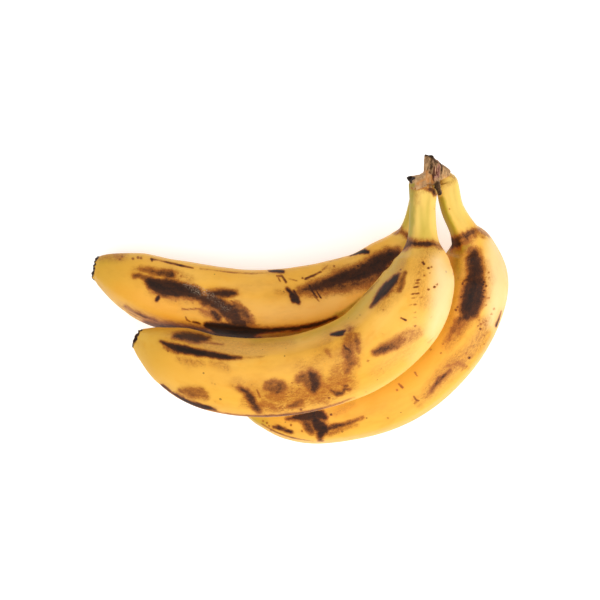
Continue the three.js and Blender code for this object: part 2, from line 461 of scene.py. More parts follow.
FRONT_BAR_AND_ROUNDS = (
    bruise((239, 387.5, 0.8), (247, 392.5, 1.5), (251, 398.5, 1.6), (254, 404.5, 1.7), (258, 409.5, 1.3),
        soft=1.1, ragged=0.6, dark=0.74),
    bruise((250, 397, 0.4), (253, 404, 0.6), (257, 409, 0.4), dark=0.84, soft=0.9, ragged=0.6),
    stain((232, 385, 1), (240, 391, 1.5), strength=0.45, soft=1.5),
    line((257, 390, 0.5), (260, 397, 0.5), dark=0.5),
    bruise((268, 386, 2.4), (275, 387, 4.0), (280, 388, 3.6), dark=0.52, soft=1.0),
    bruise((276, 383, 0.8), (281, 387, 1.4), (277, 393, 1.2), dark=0.62, soft=1.0),
    bruise((270, 396, 1.5), (280, 397, 2.0), dark=0.36, soft=1.8),
    bruise((299, 379, 1.7), (304, 377, 2.6), (309, 381, 3.2), (311, 386, 3.0), dark=0.56, soft=1.3),
    bruise((311, 374, 1.6), (313.5, 378, 2.8), (315, 383, 2.9), (314, 388, 2.2), (315, 392, 0.6), dark=0.76,
        soft=1.6, ragged=0.4, halo=0.7),
    bruise((310, 394, 1.5), (302, 395, 1.5), dark=0.35, soft=1.8),
    flecks((299, 372), (292, 383), (276, 384), size=0.5, dark=0.45),
)
FRONT_GRAINY_BAND = (
    bruise((350, 331, 1.0), (349, 341, 2.2), (348, 352, 2.6), (351, 361, 3.0), (347, 371, 1.8), dark=0.5,
        soft=1.8, ragged=1.6),
    bruise((356, 336, 1.0), (357, 344, 1.6), (358, 351, 0.8), dark=0.5, soft=1.2, ragged=1.2),
    stain((350, 332, 4), (348, 352, 6), (340, 376, 6), strength=0.55, soft=5),
    stain((330, 335, 3), (322, 355, 4), (312, 368, 3), strength=0.4, soft=5),
    stain((326, 352, 1.5), (336, 346, 1), strength=0.4, soft=2),
    bruise((327, 351, 1.2), (330, 356, 0.8), dark=0.33, soft=1.0),
    bruise((331, 334.5, 0.5), (337, 334, 1.0), (341, 333.4, 1.2), (345, 330.5, 0.4), soft=0.5, ragged=0.3),
    bruise((344, 346, 0.5), (349, 350, 0.6), dark=0.75, soft=0.5),
)
FRONT_LOWER_SIDE = (
    stain((256, 396, 3), (290, 396, 6), (318, 392, 7), (345, 382, 6), strength=0.75, soft=4),
    bruise((296, 396, 2), (318, 394, 3), (336, 380, 3), dark=0.24, soft=2.5, ragged=1.2),
    bruise((336, 372, 2.0), (346, 378, 2.5), (340, 384, 1.5), dark=0.3, soft=2.0, ragged=1.2),
    bruise((288, 406, 0.7), (295, 404.5, 1.4), (302, 402, 1.3), dark=0.52, soft=0.8),
    bruise((262, 402, 1.0), (270, 405, 1.2), (276, 410, 0.8), dark=0.36, soft=1.2),
    bruise((318, 400, 1.2), (326, 402, 1.0), dark=0.33, soft=1.2),
    bruise((324, 385, 0.8), (329, 389, 0.6), dark=0.4, soft=0.8),
    bruise((331, 390.5, 0.4), (337, 393.5, 1.0), (342, 393, 0.9), (345, 389, 0.7), (350, 389, 0.5),
        dark=0.72, soft=0.7, ragged=0.7),
    bruise((344, 386, 0.5), (348, 386, 0.7), dark=0.66, soft=0.5),
    flecks((329, 398), (301, 409.5), size=0.7),
    flecks((274, 407), (283, 410), (292, 410), (318, 403), (333, 399), (341, 396), size=0.45, dark=0.45),
    bruise((205, 408.5, 0.3), (222, 413.3, 0.3), (240, 416, 0.4), (262, 416.6, 0.6), (280, 415.8, 0.7),
        (300, 413.5, 0.7), (320, 409.5, 0.6), (340, 403.2, 0.4), (354, 398, 0.2), dark=0.62, soft=0.5,
        ragged=0.3),
    stain((244, 402, 1.5), (262, 406, 2.5), (282, 408, 2.5), (302, 405, 2.0), strength=0.95, soft=3),
    stain((236, 383, 2), (250, 386, 2.5), (262, 394, 2), strength=0.4, soft=3),
    # A painted highlight: a thin cream line along the lower edge, where it catches the light.
    stain((276, 417.3, 0.3), (300, 415.4, 0.3), (320, 411.6, 0.3), (340, 405.2, 0.3), (352, 401, 0.3),
        strength=0.8, soft=0.4, layer="painted_highlight"),
)
FRONT_TOWARDS_NECK = (
    bruise((375, 352.5, 0.9), (383, 349, 2.2), (393, 345, 2.4), (404, 339, 2.0), dark=0.74, fade=0.62,
        soft=1.2, ragged=0.4, halo=0.8),
    bruise((386, 346, 2.2), (398, 341, 3.3), (409, 335.5, 3.6), (418, 332, 2.6), dark=0.36, fade=0.7,
        soft=1.0, ragged=0.3),
    bruise((371, 307, 0.1), (377, 299, 1.3), (383, 292, 2.0), (389, 285, 2.1), (395, 278.5, 1.4),
        (399, 274, 0.3), dark=0.96, soft=0.9, ragged=0.4),
    bruise((384, 297, 0.8), (392, 290, 1.0), dark=0.5, soft=0.8),
    bruise((399, 290, 1.4), (402, 282, 1.5), (404.5, 273, 0.6), dark=0.56, soft=0.7),
    line((404, 273, 0.4), (404, 281, 0.5), (400, 290, 0.4), dark=0.7),
    flecks((395, 287), (393, 291), size=0.5, dark=0.7),
)
FRONT_NECK_RING = (
    bruise((410, 243, 0.7), (417, 243.8, 1.1), (425, 244, 1.2), (432, 243.6, 1.0), (437, 245.5, 0.4),
        soft=0.8, ragged=0.5, dark=0.82),
    bruise((408, 243, 1.8), (420, 243.5, 1.6), (432, 243.5, 1.5), (441, 247, 0.8), dark=0.5, soft=1.2,
        ragged=0.5),
    bruise((404, 247, 1.6), (409, 243, 2.4), dark=0.66, soft=1.2, ragged=0.3),
)
FRONT_DASHES_AND_SPECKS = (
    dashes((418.2, 280, 1.6, 0.8), (417, 283, 1.6, 0.7), (416, 287, 1.7, 0.85), (412.8, 294, 1.1, 0.85),
        (416.8, 293.6, 1.7, 0.7), (413, 298, 1.2, 0.45), (421, 297.5, 0.7, 0.4), (415, 304.5, 1.1, 0.65),
        (415, 312.5, 0.8, 0.4), (415, 317.5, 0.8, 0.35), (415, 326, 0.8, 0.5), (410, 305, 0.7, 0.35)),
    flecks((423, 262.5), (428.5, 268), (434.5, 287), (424, 264), size=0.55, dark=1.1),
    flecks((431.5, 267), (437, 284.5), (428.5, 289.5), (400.5, 269.5), (424.5, 275.5), size=0.5, dark=0.8),
    flecks((430, 273), (383, 334), (383, 309.5), (360, 315), (357, 318), (431, 317), (383, 373), (375, 357),
        (366, 392), (215, 402), (239, 407), size=0.4, dark=0.42),
    line((401, 317.8, 0.4), (406, 320.3, 0.5), dark=0.9),
    flecks((368, 361), size=0.8, dark=0.45),
    line((428, 343, 0.3), (437, 335, 0.2), dark=0.3),
    line((425, 341, 0.3), (433, 335, 0.2), dark=0.25),
)
FRONT_UNDER_CROWN = (
    bruise((411, 187.5, 0.4), (417, 187.5, 0.6), (423, 187.5, 0.6), (428, 189, 0.7), dark=0.46, soft=0.6,
        ragged=0.7),
    bruise((430, 189, 0.9), (433, 191, 1.2), (435.5, 194.5, 0.8), dark=0.68, soft=0.6, ragged=0.6),
    stain((413, 189, 1.5), (418, 190, 1.6), (428, 190, 1.5), strength=0.4, soft=1.6),
    stain((416, 195, 1.5), (417, 203, 1.0), strength=0.4, soft=2.0),
    bruise((425, 184, 1.2), (431, 186, 1.6), (433, 189, 1.0), dark=0.42, soft=0.6, ragged=0.6),
    stain((412, 184.5, 0.8), (413, 187, 0.8), strength=1.0, soft=0.7, layer="green"),
    flecks((434.5, 209), size=0.45, dark=0.4),
)
# Painted light and shade on the front finger: a cream painted highlight on the outer side of the bend, where
# the key light falls; olive and tan painted shade along the upper edge, where it lies against the left
# finger, and over the top of its left half; and further tan clouds over the peel below the neck and in the
# middle.
FRONT_PAINTED_LIGHT_AND_SHADE = (
    stain((438, 262, 3), (444, 282, 6), (441, 310, 5), (432, 334, 2.5), strength=0.6, soft=5,
        layer="painted_highlight"),
    stain((436, 332, 1.5), (412, 358, 2.0), strength=0.15, soft=4, layer="painted_highlight"),
    stain((428, 251, 3), (422, 262, 3), (418, 285, 4), (424, 302, 3), strength=0.5, soft=5),
    stain((404, 262, 2), (398, 276, 3), (392, 292, 3), (382, 306, 3), strength=0.5, soft=4),
    stain((300, 366, 3), (318, 372, 3), (330, 392, 3), (318, 400, 3), strength=0.5, soft=4),
    stain((403, 252, 3), (393, 268, 4), (376, 290, 4), (352, 312, 4), (325, 328, 3), (295, 337, 2),
        (255, 340, 2), strength=0.62, soft=4, layer="green"),
    stain((378, 280.5, 0.5), (370, 289, 0.8), (360, 298, 0.7), (350, 305.5, 0.4), strength=0.9, soft=1.0),
    stain((378, 280.5, 0.5), (370, 289, 0.8), (360, 298, 0.7), (350, 305.5, 0.4), strength=1.0, soft=1.0,
        layer="green"),
    stain((170, 340, 3), (200, 344, 5), (240, 350, 4), (262, 352, 2), strength=0.36, soft=4),
    stain((170, 333, 2), (190, 333, 2), (215, 340, 2.5), (250, 345, 2.5), (290, 342, 2), strength=0.45,
        soft=3.5),
    stain((420, 330, 2), (405, 352, 3), (375, 374, 3), strength=0.3, soft=4),
)
# Green on the front neck: along its left face partly the peel's own green and partly painted shade on the
# face turned from the light; a faint olive stripe of painted shade on its right; and olive painted shade
# along the upper edge just below the neck.
FRONT_GREEN_AND_SHADED_NECK = (
    stain((410.5, 188, 2.2), (410, 205, 2.3), (409.5, 222, 2.5), (407, 239, 2.6), strength=1.0, soft=1.4,
        layer="green"),
    stain((421, 208, 0.8), (422.5, 222, 1.2), (423, 238, 1.4), strength=0.16, soft=1.4, layer="green"),
    stain((410, 188, 0.8), (410, 205, 0.8), (407, 230, 1.0), strength=1.0, soft=1.0, layer="green"),
    stain((410, 252, 1.5), (396, 266, 1.5), (380, 284, 1), strength=0.35, soft=2, layer="green"),
)
FRONT_UNDERNEATH = (
    bruise((296, 374, 1.5), (325, 364, 4.0), (352, 351, 2.0), soft=1.4, ragged=1.0),
    bruise((198, 367, 1.5), (222, 375, 3.2), (246, 378, 1.5), dark=0.8, soft=1.4, ragged=1.0),
    bruise((405, 300, 1.2), (398, 318, 2.6), (388, 330, 1.0), dark=0.7, soft=1.4),
    stain((320, 372, 5), (280, 384, 5), strength=0.5, soft=4),
    line((265, 380, 0.4), (290, 386, 0.4), dark=0.7),
    flecks((270, 372), (281, 379), (190, 358), (372, 335), (180, 352), (340, 368), size=0.7),
)

LEFT_UPPER_RIDGE = (
    line((151, 259, 0.5), (160, 260.5, 0.2), (170, 263, 0.5), (181, 265.5, 0.5), (193, 268, 0.3), dark=0.9),
    flecks((152, 259.5), (152, 260.5), size=0.6, dark=0.8),
    line((200, 268.5, 0.3), (231, 272.4, 0.35), (252, 273.5, 0.4), (272, 272, 0.4), dark=0.5),
    bruise((270, 270.8, 0.5), (276, 270.3, 0.9), (283, 271.5, 0.6), soft=0.5, ragged=0.3),
    line((277, 276, 0.5), (282, 276, 0.6), (286, 282, 0.6), dark=0.75),
    line((278, 277, 0.4), (280, 281, 0.4), dark=0.6),
    line((288, 278.5, 0.25), (297, 280.8, 0.4), dark=0.5),
)
LEFT_LONG_BRUISE = (
    bruise((147, 280, 1.0), (155, 285, 3.2), (165, 288, 4.2), (175, 289, 4.0), (185, 290.5, 3.3),
        (196, 293, 2.6), dark=0.9, soft=1.3, ragged=0.8),
    bruise((188, 292, 2.0), (202, 297, 2.6), (213, 302, 3.4), (224, 308, 3.6), (234, 316, 3.8),
        (240, 325, 3.8), dark=0.78, soft=1.5, ragged=1.2),
    bruise((208, 293, 1.2), (218, 293.5, 1.9), (228, 293.5, 1.9), (236, 292.7, 0.8), dark=0.82, soft=1.1),
    bruise((236, 306, 2.0), (243, 314, 2.6), (249, 322, 2.4), dark=0.6, soft=1.2, ragged=1.2),
    line((231, 301, 0.5), (241, 306, 0.4), (250, 311, 0.35), dark=0.65),
    bruise((214, 313, 2.0), (218, 318, 2.0), dark=0.7, soft=1.0),
    bruise((134, 276, 0.9), (139, 275.5, 1.0), (146, 278, 1.2), dark=0.62, soft=0.8),
    bruise((140, 268.5, 0.6), (150, 271, 1.4), (160, 273, 1.6), (172, 274.5, 1.6), dark=0.5, fade=1.5,
        soft=1.1),
    flecks((176, 272), (178, 273), (181, 276), size=0.6, dark=0.45),
    stain((135, 270, 1.5), (150, 270, 2), (175, 272, 2), (190, 280, 2), strength=0.5, soft=2),
    stain((150, 292, 2), (165, 299, 1.5), (195, 302, 2), strength=0.35, soft=2),
    # Painted sheen: pale crackled speckles where light glints on the bruise's wrinkled skin.
    stain((186, 284, 1.4), (194, 288, 2.3), (203, 291.5, 2.6), (212, 295.5, 1.8), strength=1.0, soft=1.0,
        layer="sheen_and_pale_skin"),
    stain((215, 299, 1.2), (222, 306, 1.4), (228, 309, 1.0), strength=0.55, soft=1.4, layer="sheen_and_pale_skin"),
)
LEFT_BLACK_BAND_AND_PAINTED_SHADE = (
    bruise((207, 325, 1.3), (218, 328.5, 2.8), (232, 331, 3.4), (246, 332.5, 3.2), (258, 331, 1.3),
        (275, 330.2, 0.8), (300, 328.2, 0.8), (318, 324, 0.7), (336, 317.7, 0.3), soft=0.8, ragged=0.4),
    # Olive and tan clouds along the front finger's edge: painted shade where the two fingers meet.
    stain((252, 337, 1.6), (275, 337, 1.8), (300, 332, 1.4), (322, 324, 1.2), (342, 313, 1.0),
        (362, 299.5, 1.0), (374, 287, 0.8), strength=1.0, soft=1.3, layer="green"),
    stain((252, 337, 1.6), (275, 337, 1.8), (300, 332, 1.4), (322, 324, 1.0), (342, 313, 0.8),
        (362, 299.5, 0.8), strength=0.6, soft=1.3),
    bruise((250, 326, 1.3), (262, 329, 0.8), (300, 327, 0.7), dark=0.5, soft=1.0),
    bruise((204, 334, 0.8), (218, 335, 1.2), (232, 337, 1.6), (248, 338, 1.4), (260, 338, 0.5), dark=0.84,
        soft=1.1, ragged=0.5),
    # A dark brown flank and cloud towards the tip: painted shade beside the front finger, with some real
    # staining.
    bruise((146, 323, 1.4), (165, 329, 3.0), (185, 331.5, 3.0), (207, 333, 2.0), dark=0.7, soft=1.6,
        ragged=0.4),
    stain((120, 306, 1), (150, 325, 2), (180, 330, 2.5), (205, 333, 2.0), strength=0.6, soft=2.5),
)
LEFT_SMALL_MARKS = (
    bruise((156.6, 300, 0.8), (158.4, 297.4, 0.9), dark=0.88, soft=0.4, ragged=0.1),
    line((182, 309, 0.4), (186, 309.4, 0.4), (195, 308.8, 0.4), (205, 309.4, 0.4), dark=0.6),
    bruise((202, 311, 1.2), (208, 314, 1.6), (213, 316, 1.2), dark=0.42, soft=1.0),
    flecks((201, 313), (207, 315), (212, 314), (193, 303), (176, 301), size=0.5, dark=0.5),
    line((185.5, 317, 0.3), (187, 320, 0.4), (190, 321.6, 0.4), dark=0.65),
    line((193, 322, 0.5), (197, 322.6, 0.6), (200, 323.8, 0.5), dark=0.8),
    flecks((120, 259), (133, 258.5), (138, 257.5), (141, 257.8), (122, 256), size=0.75, dark=0.55),
    stain((100, 257, 1.5), (112, 256, 2.5), (124, 256, 2.0), strength=0.6, soft=2.5),
    bruise((116, 257, 1.0), (121, 258.5, 0.8), dark=0.28, soft=1.2),
    # A dark line along the lower edge, where it meets the front finger: partly a stain and partly painted
    # shade.
    bruise((125, 307, 0.4), (134, 312, 0.5), (145, 317, 1.0), (157, 322, 0.9), dark=0.64, soft=0.8,
        halo=0.9),
    line((129, 312.5, 0.3), (142, 319, 0.4), (153, 324, 0.4), dark=0.6),
    # Painted shade: a thin dark line along the lower edge of the tip.
    line((96, 281, 0.25), (104, 291.5, 0.3), (113, 302, 0.3), (123, 310, 0.3), dark=0.4),
)
LEFT_BROAD_BRUISE = (
    bruise((300, 291, 1.2), (309, 288.5, 2.0), (320, 286, 2.8), (332, 282, 3.2), dark=0.68, fade=1.25,
        soft=1.7, ragged=0.5),
    bruise((331, 282, 2.4), (342, 278.3, 3.4), (355, 274.8, 3.6), (368, 270, 4.0), (380, 262.8, 4.4),
        (389, 256.5, 3.3), (396, 253.5, 1.8), dark=0.9, soft=2.1, ragged=0.5),
    bruise((326, 289, 1.6), (345, 286, 2.8), (366, 280.5, 3.0), (382, 273, 2.4), dark=0.6, soft=2.2,
        ragged=0.4),
    bruise((348, 277, 1.0), (360, 274.5, 1.4), (372, 269, 1.4), (384, 261, 1.2), dark=0.97, soft=2.0,
        ragged=0.5),
    bruise((300, 292, 1.4), (312, 293, 2.0), (325, 293, 1.6), dark=0.42, soft=1.6),
    stain((325, 268, 1.5), (340, 270, 2), (330, 276, 2), strength=0.5, soft=2),
    stain((276, 292, 1), (288, 293, 1.5), strength=0.5, soft=1.5),
    # Painted light: faint cream that lightens the left finger's lower middle, where the front finger shades
    # it.
    stain((236, 300, 2), (268, 310, 5), (305, 309, 5), (335, 300, 4), strength=0.1, soft=5, layer="painted_highlight"),
    stain((225, 284, 2), (255, 288, 4), (280, 284, 2), strength=0.06, soft=5, layer="painted_highlight"),
    stain((118, 290, 3), (145, 302, 4), (175, 312, 3), strength=0.45, soft=5, layer="warm"),
    bruise((287, 289, 0.5), (291, 293, 0.8), (295, 299, 2.0), (298, 302, 1.1), dark=0.95, soft=0.6,
        ragged=0.4),
    line((294, 291, 0.7), (297, 296, 0.7), (299, 304, 0.5), dark=0.85),
    line((309, 285, 0.6), (312, 291, 0.6), (317, 297, 0.4), dark=0.95),
    line((315, 287, 0.5), (317, 292, 0.5), (321, 298, 0.4), dark=0.95),
    line((313, 295, 0.5), (319, 301, 0.4), dark=0.6),
    line((305, 279, 0.4), (312, 276, 0.55), (321, 271.6, 0.4), dark=0.9),
    line((321, 271.6, 0.35), (328, 265, 0.25), dark=0.5),
    bruise((351, 254.8, 0.4), (358, 252.2, 0.8), (364, 251.4, 1.4), (368, 252.2, 0.6), soft=0.5,
        ragged=0.4),
    line((330, 261, 0.2), (345, 256.5, 0.3), (352, 254.6, 0.4), dark=0.6),
    flecks((358, 266), size=0.8, dark=0.95),
    flecks((302.4, 278), (354, 281), (357, 284), (361, 287), (338, 289), (334, 266), size=0.55, dark=0.7),
)
LEFT_NECK_FOOT = (
    bruise((396, 232.5, 0.7), (402, 231.5, 1.0), (408, 236.5, 0.9), dark=0.55, soft=1.1),
    bruise((398, 229, 0.6), (401, 227, 0.3), dark=0.7, soft=0.8),
    stain((398, 230, 1.5), (408, 235, 1.5), strength=0.5, soft=1.2),
    stain((409, 198, 3.5), (406, 212, 3.5), (402, 224, 3.2), strength=0.7, soft=1.5, layer="green"),
    stain((100, 262, 2), (112, 258, 2), strength=0.25, soft=3, layer="green"),
)
LEFT_UNDERNEATH = (
    bruise((150, 288, 1.5), (188, 297, 4.2), (222, 303, 2.0), dark=0.9, soft=1.5, ragged=1.0),
    bruise((268, 305, 1.5), (300, 303, 3.8), (328, 297, 2.0), dark=0.75, soft=1.5, ragged=1.0),
    bruise((365, 285, 1.5), (384, 266, 2.8), dark=0.85, soft=1.3),
    bruise((172, 262, 0.8), (200, 266, 2.2), (236, 270, 1.0), dark=0.85, soft=1.2, ragged=0.8),
    bruise((312, 268, 0.8), (338, 262, 2.0), (360, 255, 0.8), dark=0.7, soft=1.2, ragged=0.8),
    stain((240, 272, 4), (280, 274, 5), (310, 272, 3), strength=0.5, soft=3),
    line((118, 262, 0.4), (140, 266, 0.4), dark=0.7),
    flecks((130, 270), (256, 300), (262, 296), (346, 290), (290, 280), (298, 276), size=0.7),
)

RIGHT_NECK_RING = (
    bruise((453, 240.5, 2.0), (460, 238.5, 1.6), (467, 235.5, 1.2), (474, 231.5, 1.0), (481, 228.5, 0.5),
        dark=0.74, fade=0.8, soft=1.1, ragged=1.3),
    bruise((451, 245.5, 1.4), (457, 244.5, 1.0), (463, 242, 0.6), dark=0.82, soft=0.9, ragged=1.0),
    bruise((453, 243.5, 3.2), (464, 240, 2.8), (476, 233, 2.4), (487, 232, 1.4), dark=0.42, soft=1.7,
        ragged=1.8),
    bruise((457, 240.5, 1.0), (463, 241, 1.3), (468, 239.5, 0.9), dark=0.56, soft=1.1, ragged=1.0),
    bruise((468, 251.5, 1.2), (473, 250, 1.8), (478, 252, 1.4), dark=0.52, soft=1.6, ragged=0.8),
    stain((453, 246, 3), (463, 245, 3), (474, 238, 2), strength=0.4, soft=2.0),
    # Olive and tan clouds just below the ring: painted shade in the hollow where the front finger meets this
    # neck.
    stain((451, 249, 2.5), (459, 248.5, 3.0), (466, 247, 2.5), strength=1.0, soft=1.6, layer="green"),
    stain((453, 254, 2.5), (462, 253, 2.5), strength=0.45, soft=2.0),
    flecks((477, 232), (480, 230), (482, 233), (485, 235), (474, 229), size=0.6, dark=0.6),
)
RIGHT_SHOULDER_BRUISE = (
    bruise((474, 254, 2.2), (474, 260, 3.5), (475, 268, 3.9), (475.5, 275, 3.8), (474.5, 283, 4.5),
        (473.5, 292, 5.3), (472, 301, 5.4), (469, 309, 4.9), (466.5, 315, 3.0), dark=0.82, soft=1.5,
        ragged=0.5),
    bruise((474, 262, 0.6), (475, 274, 1.2), (473, 288, 2.8), (470, 300, 3.4), (467, 309, 2.8), dark=0.95,
        soft=1.9, ragged=0.8),
    bruise((471, 317, 1.5), (464, 323, 2.6), (458, 330, 2.0), dark=0.42, soft=1.7, ragged=0.9, halo=0.7),
    bruise((461, 318, 1.6), (457, 325, 1.6), (452, 333, 1.3), (447, 341, 0.8), dark=0.66, fade=0.6,
        soft=1.2, ragged=0.8),
    line((462.5, 284, 0.5), (464, 281, 0.5), (467, 279.5, 0.5), dark=0.9),
    flecks((456, 310), (458, 307), (461, 297), (466, 290), size=0.6, dark=0.8),
    flecks((483, 284.5), (482.5, 288), (486, 286), (484.5, 290.5), (483.5, 297), (483, 293), (480, 277),
        (484, 282), size=0.65, dark=0.95),
    flecks((484, 265.5), (489, 298), (484, 300), (488.5, 272.5), (491.5, 314), (486, 277), size=0.5,
        dark=0.55),
    flecks((494, 309), (489, 278), (486, 305), (458, 278), (443, 344), size=0.6, dark=0.38),
    stain((486, 262, 1.5), (490, 280, 2), (487, 300, 1.5), strength=0.35, soft=2),
)
RIGHT_OUTER_EDGE = (
    bruise((501.5, 312, 0.2), (499.5, 319, 0.4), (497, 325.5, 0.7), soft=0.5, ragged=0.2, dark=0.9),
    stain((482, 321, 2.5), (485, 334, 3), (481, 346, 2.5), strength=0.6, soft=2.6),
    flecks((481, 324), (483.5, 322.5), (485, 325), (478, 326), (479, 320), (486, 321), (484, 335.5),
        (484.5, 344), size=0.45, dark=0.6),
    flecks((480.3, 329), size=0.6, dark=0.85),
    bruise((425.5, 398, 0.2), (431, 391.5, 0.4), (436, 384.5, 0.7), (441, 378.5, 1.0), (446, 373.5, 0.9),
        (450, 370, 0.4), dark=0.64, soft=0.8, ragged=0.9, halo=0.8),
    bruise((447, 367, 0.8), (456, 363, 1.0), (466, 366, 0.9), dark=0.36, soft=1.0, ragged=1.2),
    line((459, 361, 0.4), (456, 365, 0.5), dark=0.5),
    line((465, 366, 0.4), (461, 371, 0.4), dark=0.45),
    stain((424, 398, 2), (438, 381, 4), (452, 366, 4.5), (470, 352, 4), (482, 334, 3.5), (486, 320, 2),
        strength=0.62, soft=3.0),
    line((413.5, 396, 0.4), (416.5, 400.3, 0.45), (418.5, 400.5, 0.4), dark=0.66),
    line((416.5, 400.5, 0.4), (414.3, 403.6, 0.45), dark=0.6),
    stain((416, 400, 2), (420, 405, 1.5), strength=0.45, soft=1.5),
    flecks((469.3, 357.8), size=0.7, dark=0.95),
    line((399, 384, 0.6), (402.5, 387.3, 0.7), dark=0.55),
    line((415, 372.4, 0.5), (417, 375.6, 0.5), dark=0.45),
    flecks((430.5, 349.5), (397, 390), (466, 353), (388, 418), (441, 353), size=0.7, dark=0.36),
)
RIGHT_BLOSSOM_END = (
    bruise((287, 419, 0.3), (294, 418, 0.9), (302, 416.5, 1.7), (311, 415.5, 2.4), (320, 415.3, 2.4),
        (324, 417, 1.6), dark=0.86, soft=1.0, ragged=0.8),
    bruise((305, 422, 1.3), (308, 427, 1.7), (312, 430, 1.7), dark=0.66, soft=1.1, ragged=0.9),
    bruise((316, 420, 2.0), (319, 426, 3.0), (323, 429, 2.8), (321, 434, 1.9), (320.5, 439, 0.6), dark=0.92,
        soft=1.1, ragged=0.7),
    bruise((329, 428, 1.3), (338, 426, 1.1), (347, 423.5, 0.9), (355, 420.8, 0.6), (363, 417.3, 0.2),
        dark=0.74, fade=0.85, soft=0.8, ragged=0.4),
    bruise((327, 434, 1.4), (336, 431, 1.0), (348, 427.5, 0.7), (357, 424.5, 0.3), dark=0.4, soft=1.0),
    flecks((331, 414.5), size=0.7, dark=0.75),
    stain((335, 414, 1.5), (345, 408, 1.5), (352, 404, 1), strength=0.4, soft=2),
    bruise((273, 427, 0.6), (278, 427.3, 0.9), (284, 429, 0.7), dark=0.72, soft=0.6, ragged=0.9),
    bruise((285, 430.5, 0.6), (291, 432, 0.9), dark=0.8, soft=0.6, ragged=0.7),
    bruise((303, 420, 1.5), (312, 421.5, 3.0), (320, 424, 3.4), (325, 429, 2.0), dark=0.62, soft=1.5,
        ragged=0.9),
    flecks((267, 423), (269, 426), (263, 421), (291, 425), (302, 431), (271, 430), size=0.6, dark=0.6),
    line((262, 424, 0.3), (270, 429, 0.4), (280, 434, 0.4), (291, 437.6, 0.4), (302, 440, 0.3),
        (313, 441.4, 0.2), dark=0.7),
)
# Painted shade on the right finger beside the front one: warm orange for the shade and the light that the
# front finger throws back, and tan and olive clouds in the hollow by the neck and along the edge where the
# two meet.
RIGHT_PAINTED_SHADE = (
    stain((462, 282, 2), (455, 310, 3), (440, 345, 4), (410, 378, 4), (372, 400, 3), (335, 412, 2),
        strength=0.55, soft=3.5, layer="warm"),
    stain((456, 253, 3), (460, 268, 3), (459, 290, 2.5), (454, 312, 2.5), (445, 335, 2), strength=0.3,
        soft=2.5),
    stain((457, 280, 2), (454, 300, 2), (448, 325, 2), (436, 345, 2.5), (412, 370, 2.5), (385, 388, 2.5),
        (355, 402, 2), (330, 412, 1.5), strength=0.5, soft=2.5, layer="green"),
    stain((462, 318, 2), (458, 333, 3), (448, 346, 2.5), strength=0.6, soft=3),
)
# A painted highlight: cream on the outer side of the right finger, where the key light falls.
RIGHT_PAINTED_HIGHLIGHT = (
    stain((492, 245, 3), (498, 270, 5), (499, 296, 5), (492, 322, 3), strength=0.55, soft=4, layer="painted_highlight"),
)
RIGHT_UNDER_CROWN = (
    stain((444, 184, 1.5), (450, 183, 1.5), (454, 181, 1.0), strength=0.4, soft=1.6),
    stain((448, 174.5, 0.8), (452, 176, 1.0), (456, 179, 0.6), strength=0.7, soft=1.0),
    stain((448, 174.5, 0.8), (452, 176, 1.0), (456, 179, 0.6), strength=1.0, soft=0.8, layer="sheen_and_pale_skin"),
    flecks((449.5, 209), size=0.5, dark=0.45),
)
# Green on the right neck's left face, partly the peel's own green and partly painted shade on the face
# turned from the light; olive painted shade in the hollow between the front and right fingers below it; and
# the peel's own green at the blossom end.
RIGHT_GREEN_AND_SHADED_NECK = (
    stain((441, 200, 1.8), (445, 215, 2.6), (450, 228, 3.0), (454, 238, 2.8), strength=1.0, soft=1.3,
        layer="green"),
    stain((456, 252, 2), (457, 264, 2), (458, 276, 1), strength=0.7, soft=2.5, layer="green"),
    stain((254, 420, 2), (264, 423, 2), strength=0.5, soft=2, layer="green"),
)
RIGHT_UNDERNEATH = (
    bruise((470, 285, 1.5), (463, 314, 4.2), (449, 340, 2.0), dark=0.9, soft=1.5, ragged=1.0),
    bruise((418, 370, 1.5), (386, 388, 3.8), (358, 399, 1.5), dark=0.75, soft=1.5, ragged=1.0),
    bruise((334, 406, 2.0), (304, 412, 2.0), dark=0.85, soft=1.3),
    bruise((500, 268, 0.8), (504, 290, 2.0), (502, 312, 0.8), dark=0.75, soft=1.2, ragged=0.8),
    stain((470, 372, 4), (440, 398, 4), (400, 420, 3), strength=0.5, soft=3),
    line((446, 392, 0.4), (426, 406, 0.5), dark=0.8),
    flecks((480, 340), (476, 348), (360, 420), (350, 428), (440, 330), (400, 398), size=0.7),
)

SEEN_MARKS = {
    "finger_front": (FRONT_BLOSSOM_END, FRONT_BAR_AND_ROUNDS, FRONT_GRAINY_BAND, FRONT_LOWER_SIDE,
        FRONT_TOWARDS_NECK, FRONT_NECK_RING, FRONT_DASHES_AND_SPECKS, FRONT_UNDER_CROWN, FRONT_PAINTED_LIGHT_AND_SHADE,
        FRONT_GREEN_AND_SHADED_NECK),
    "finger_left": (LEFT_UPPER_RIDGE, LEFT_LONG_BRUISE, LEFT_BLACK_BAND_AND_PAINTED_SHADE, LEFT_SMALL_MARKS,
        LEFT_BROAD_BRUISE, LEFT_NECK_FOOT),
    "finger_right": (RIGHT_NECK_RING, RIGHT_SHOULDER_BRUISE, RIGHT_OUTER_EDGE, RIGHT_BLOSSOM_END,
        RIGHT_PAINTED_SHADE, RIGHT_PAINTED_HIGHLIGHT, RIGHT_UNDER_CROWN, RIGHT_GREEN_AND_SHADED_NECK),
}
UNDER_MARKS = {
    "finger_front": FRONT_UNDERNEATH, "finger_left": LEFT_UNDERNEATH, "finger_right": RIGHT_UNDERNEATH,
}


# ------------------------------------------------------------------ shader node groups

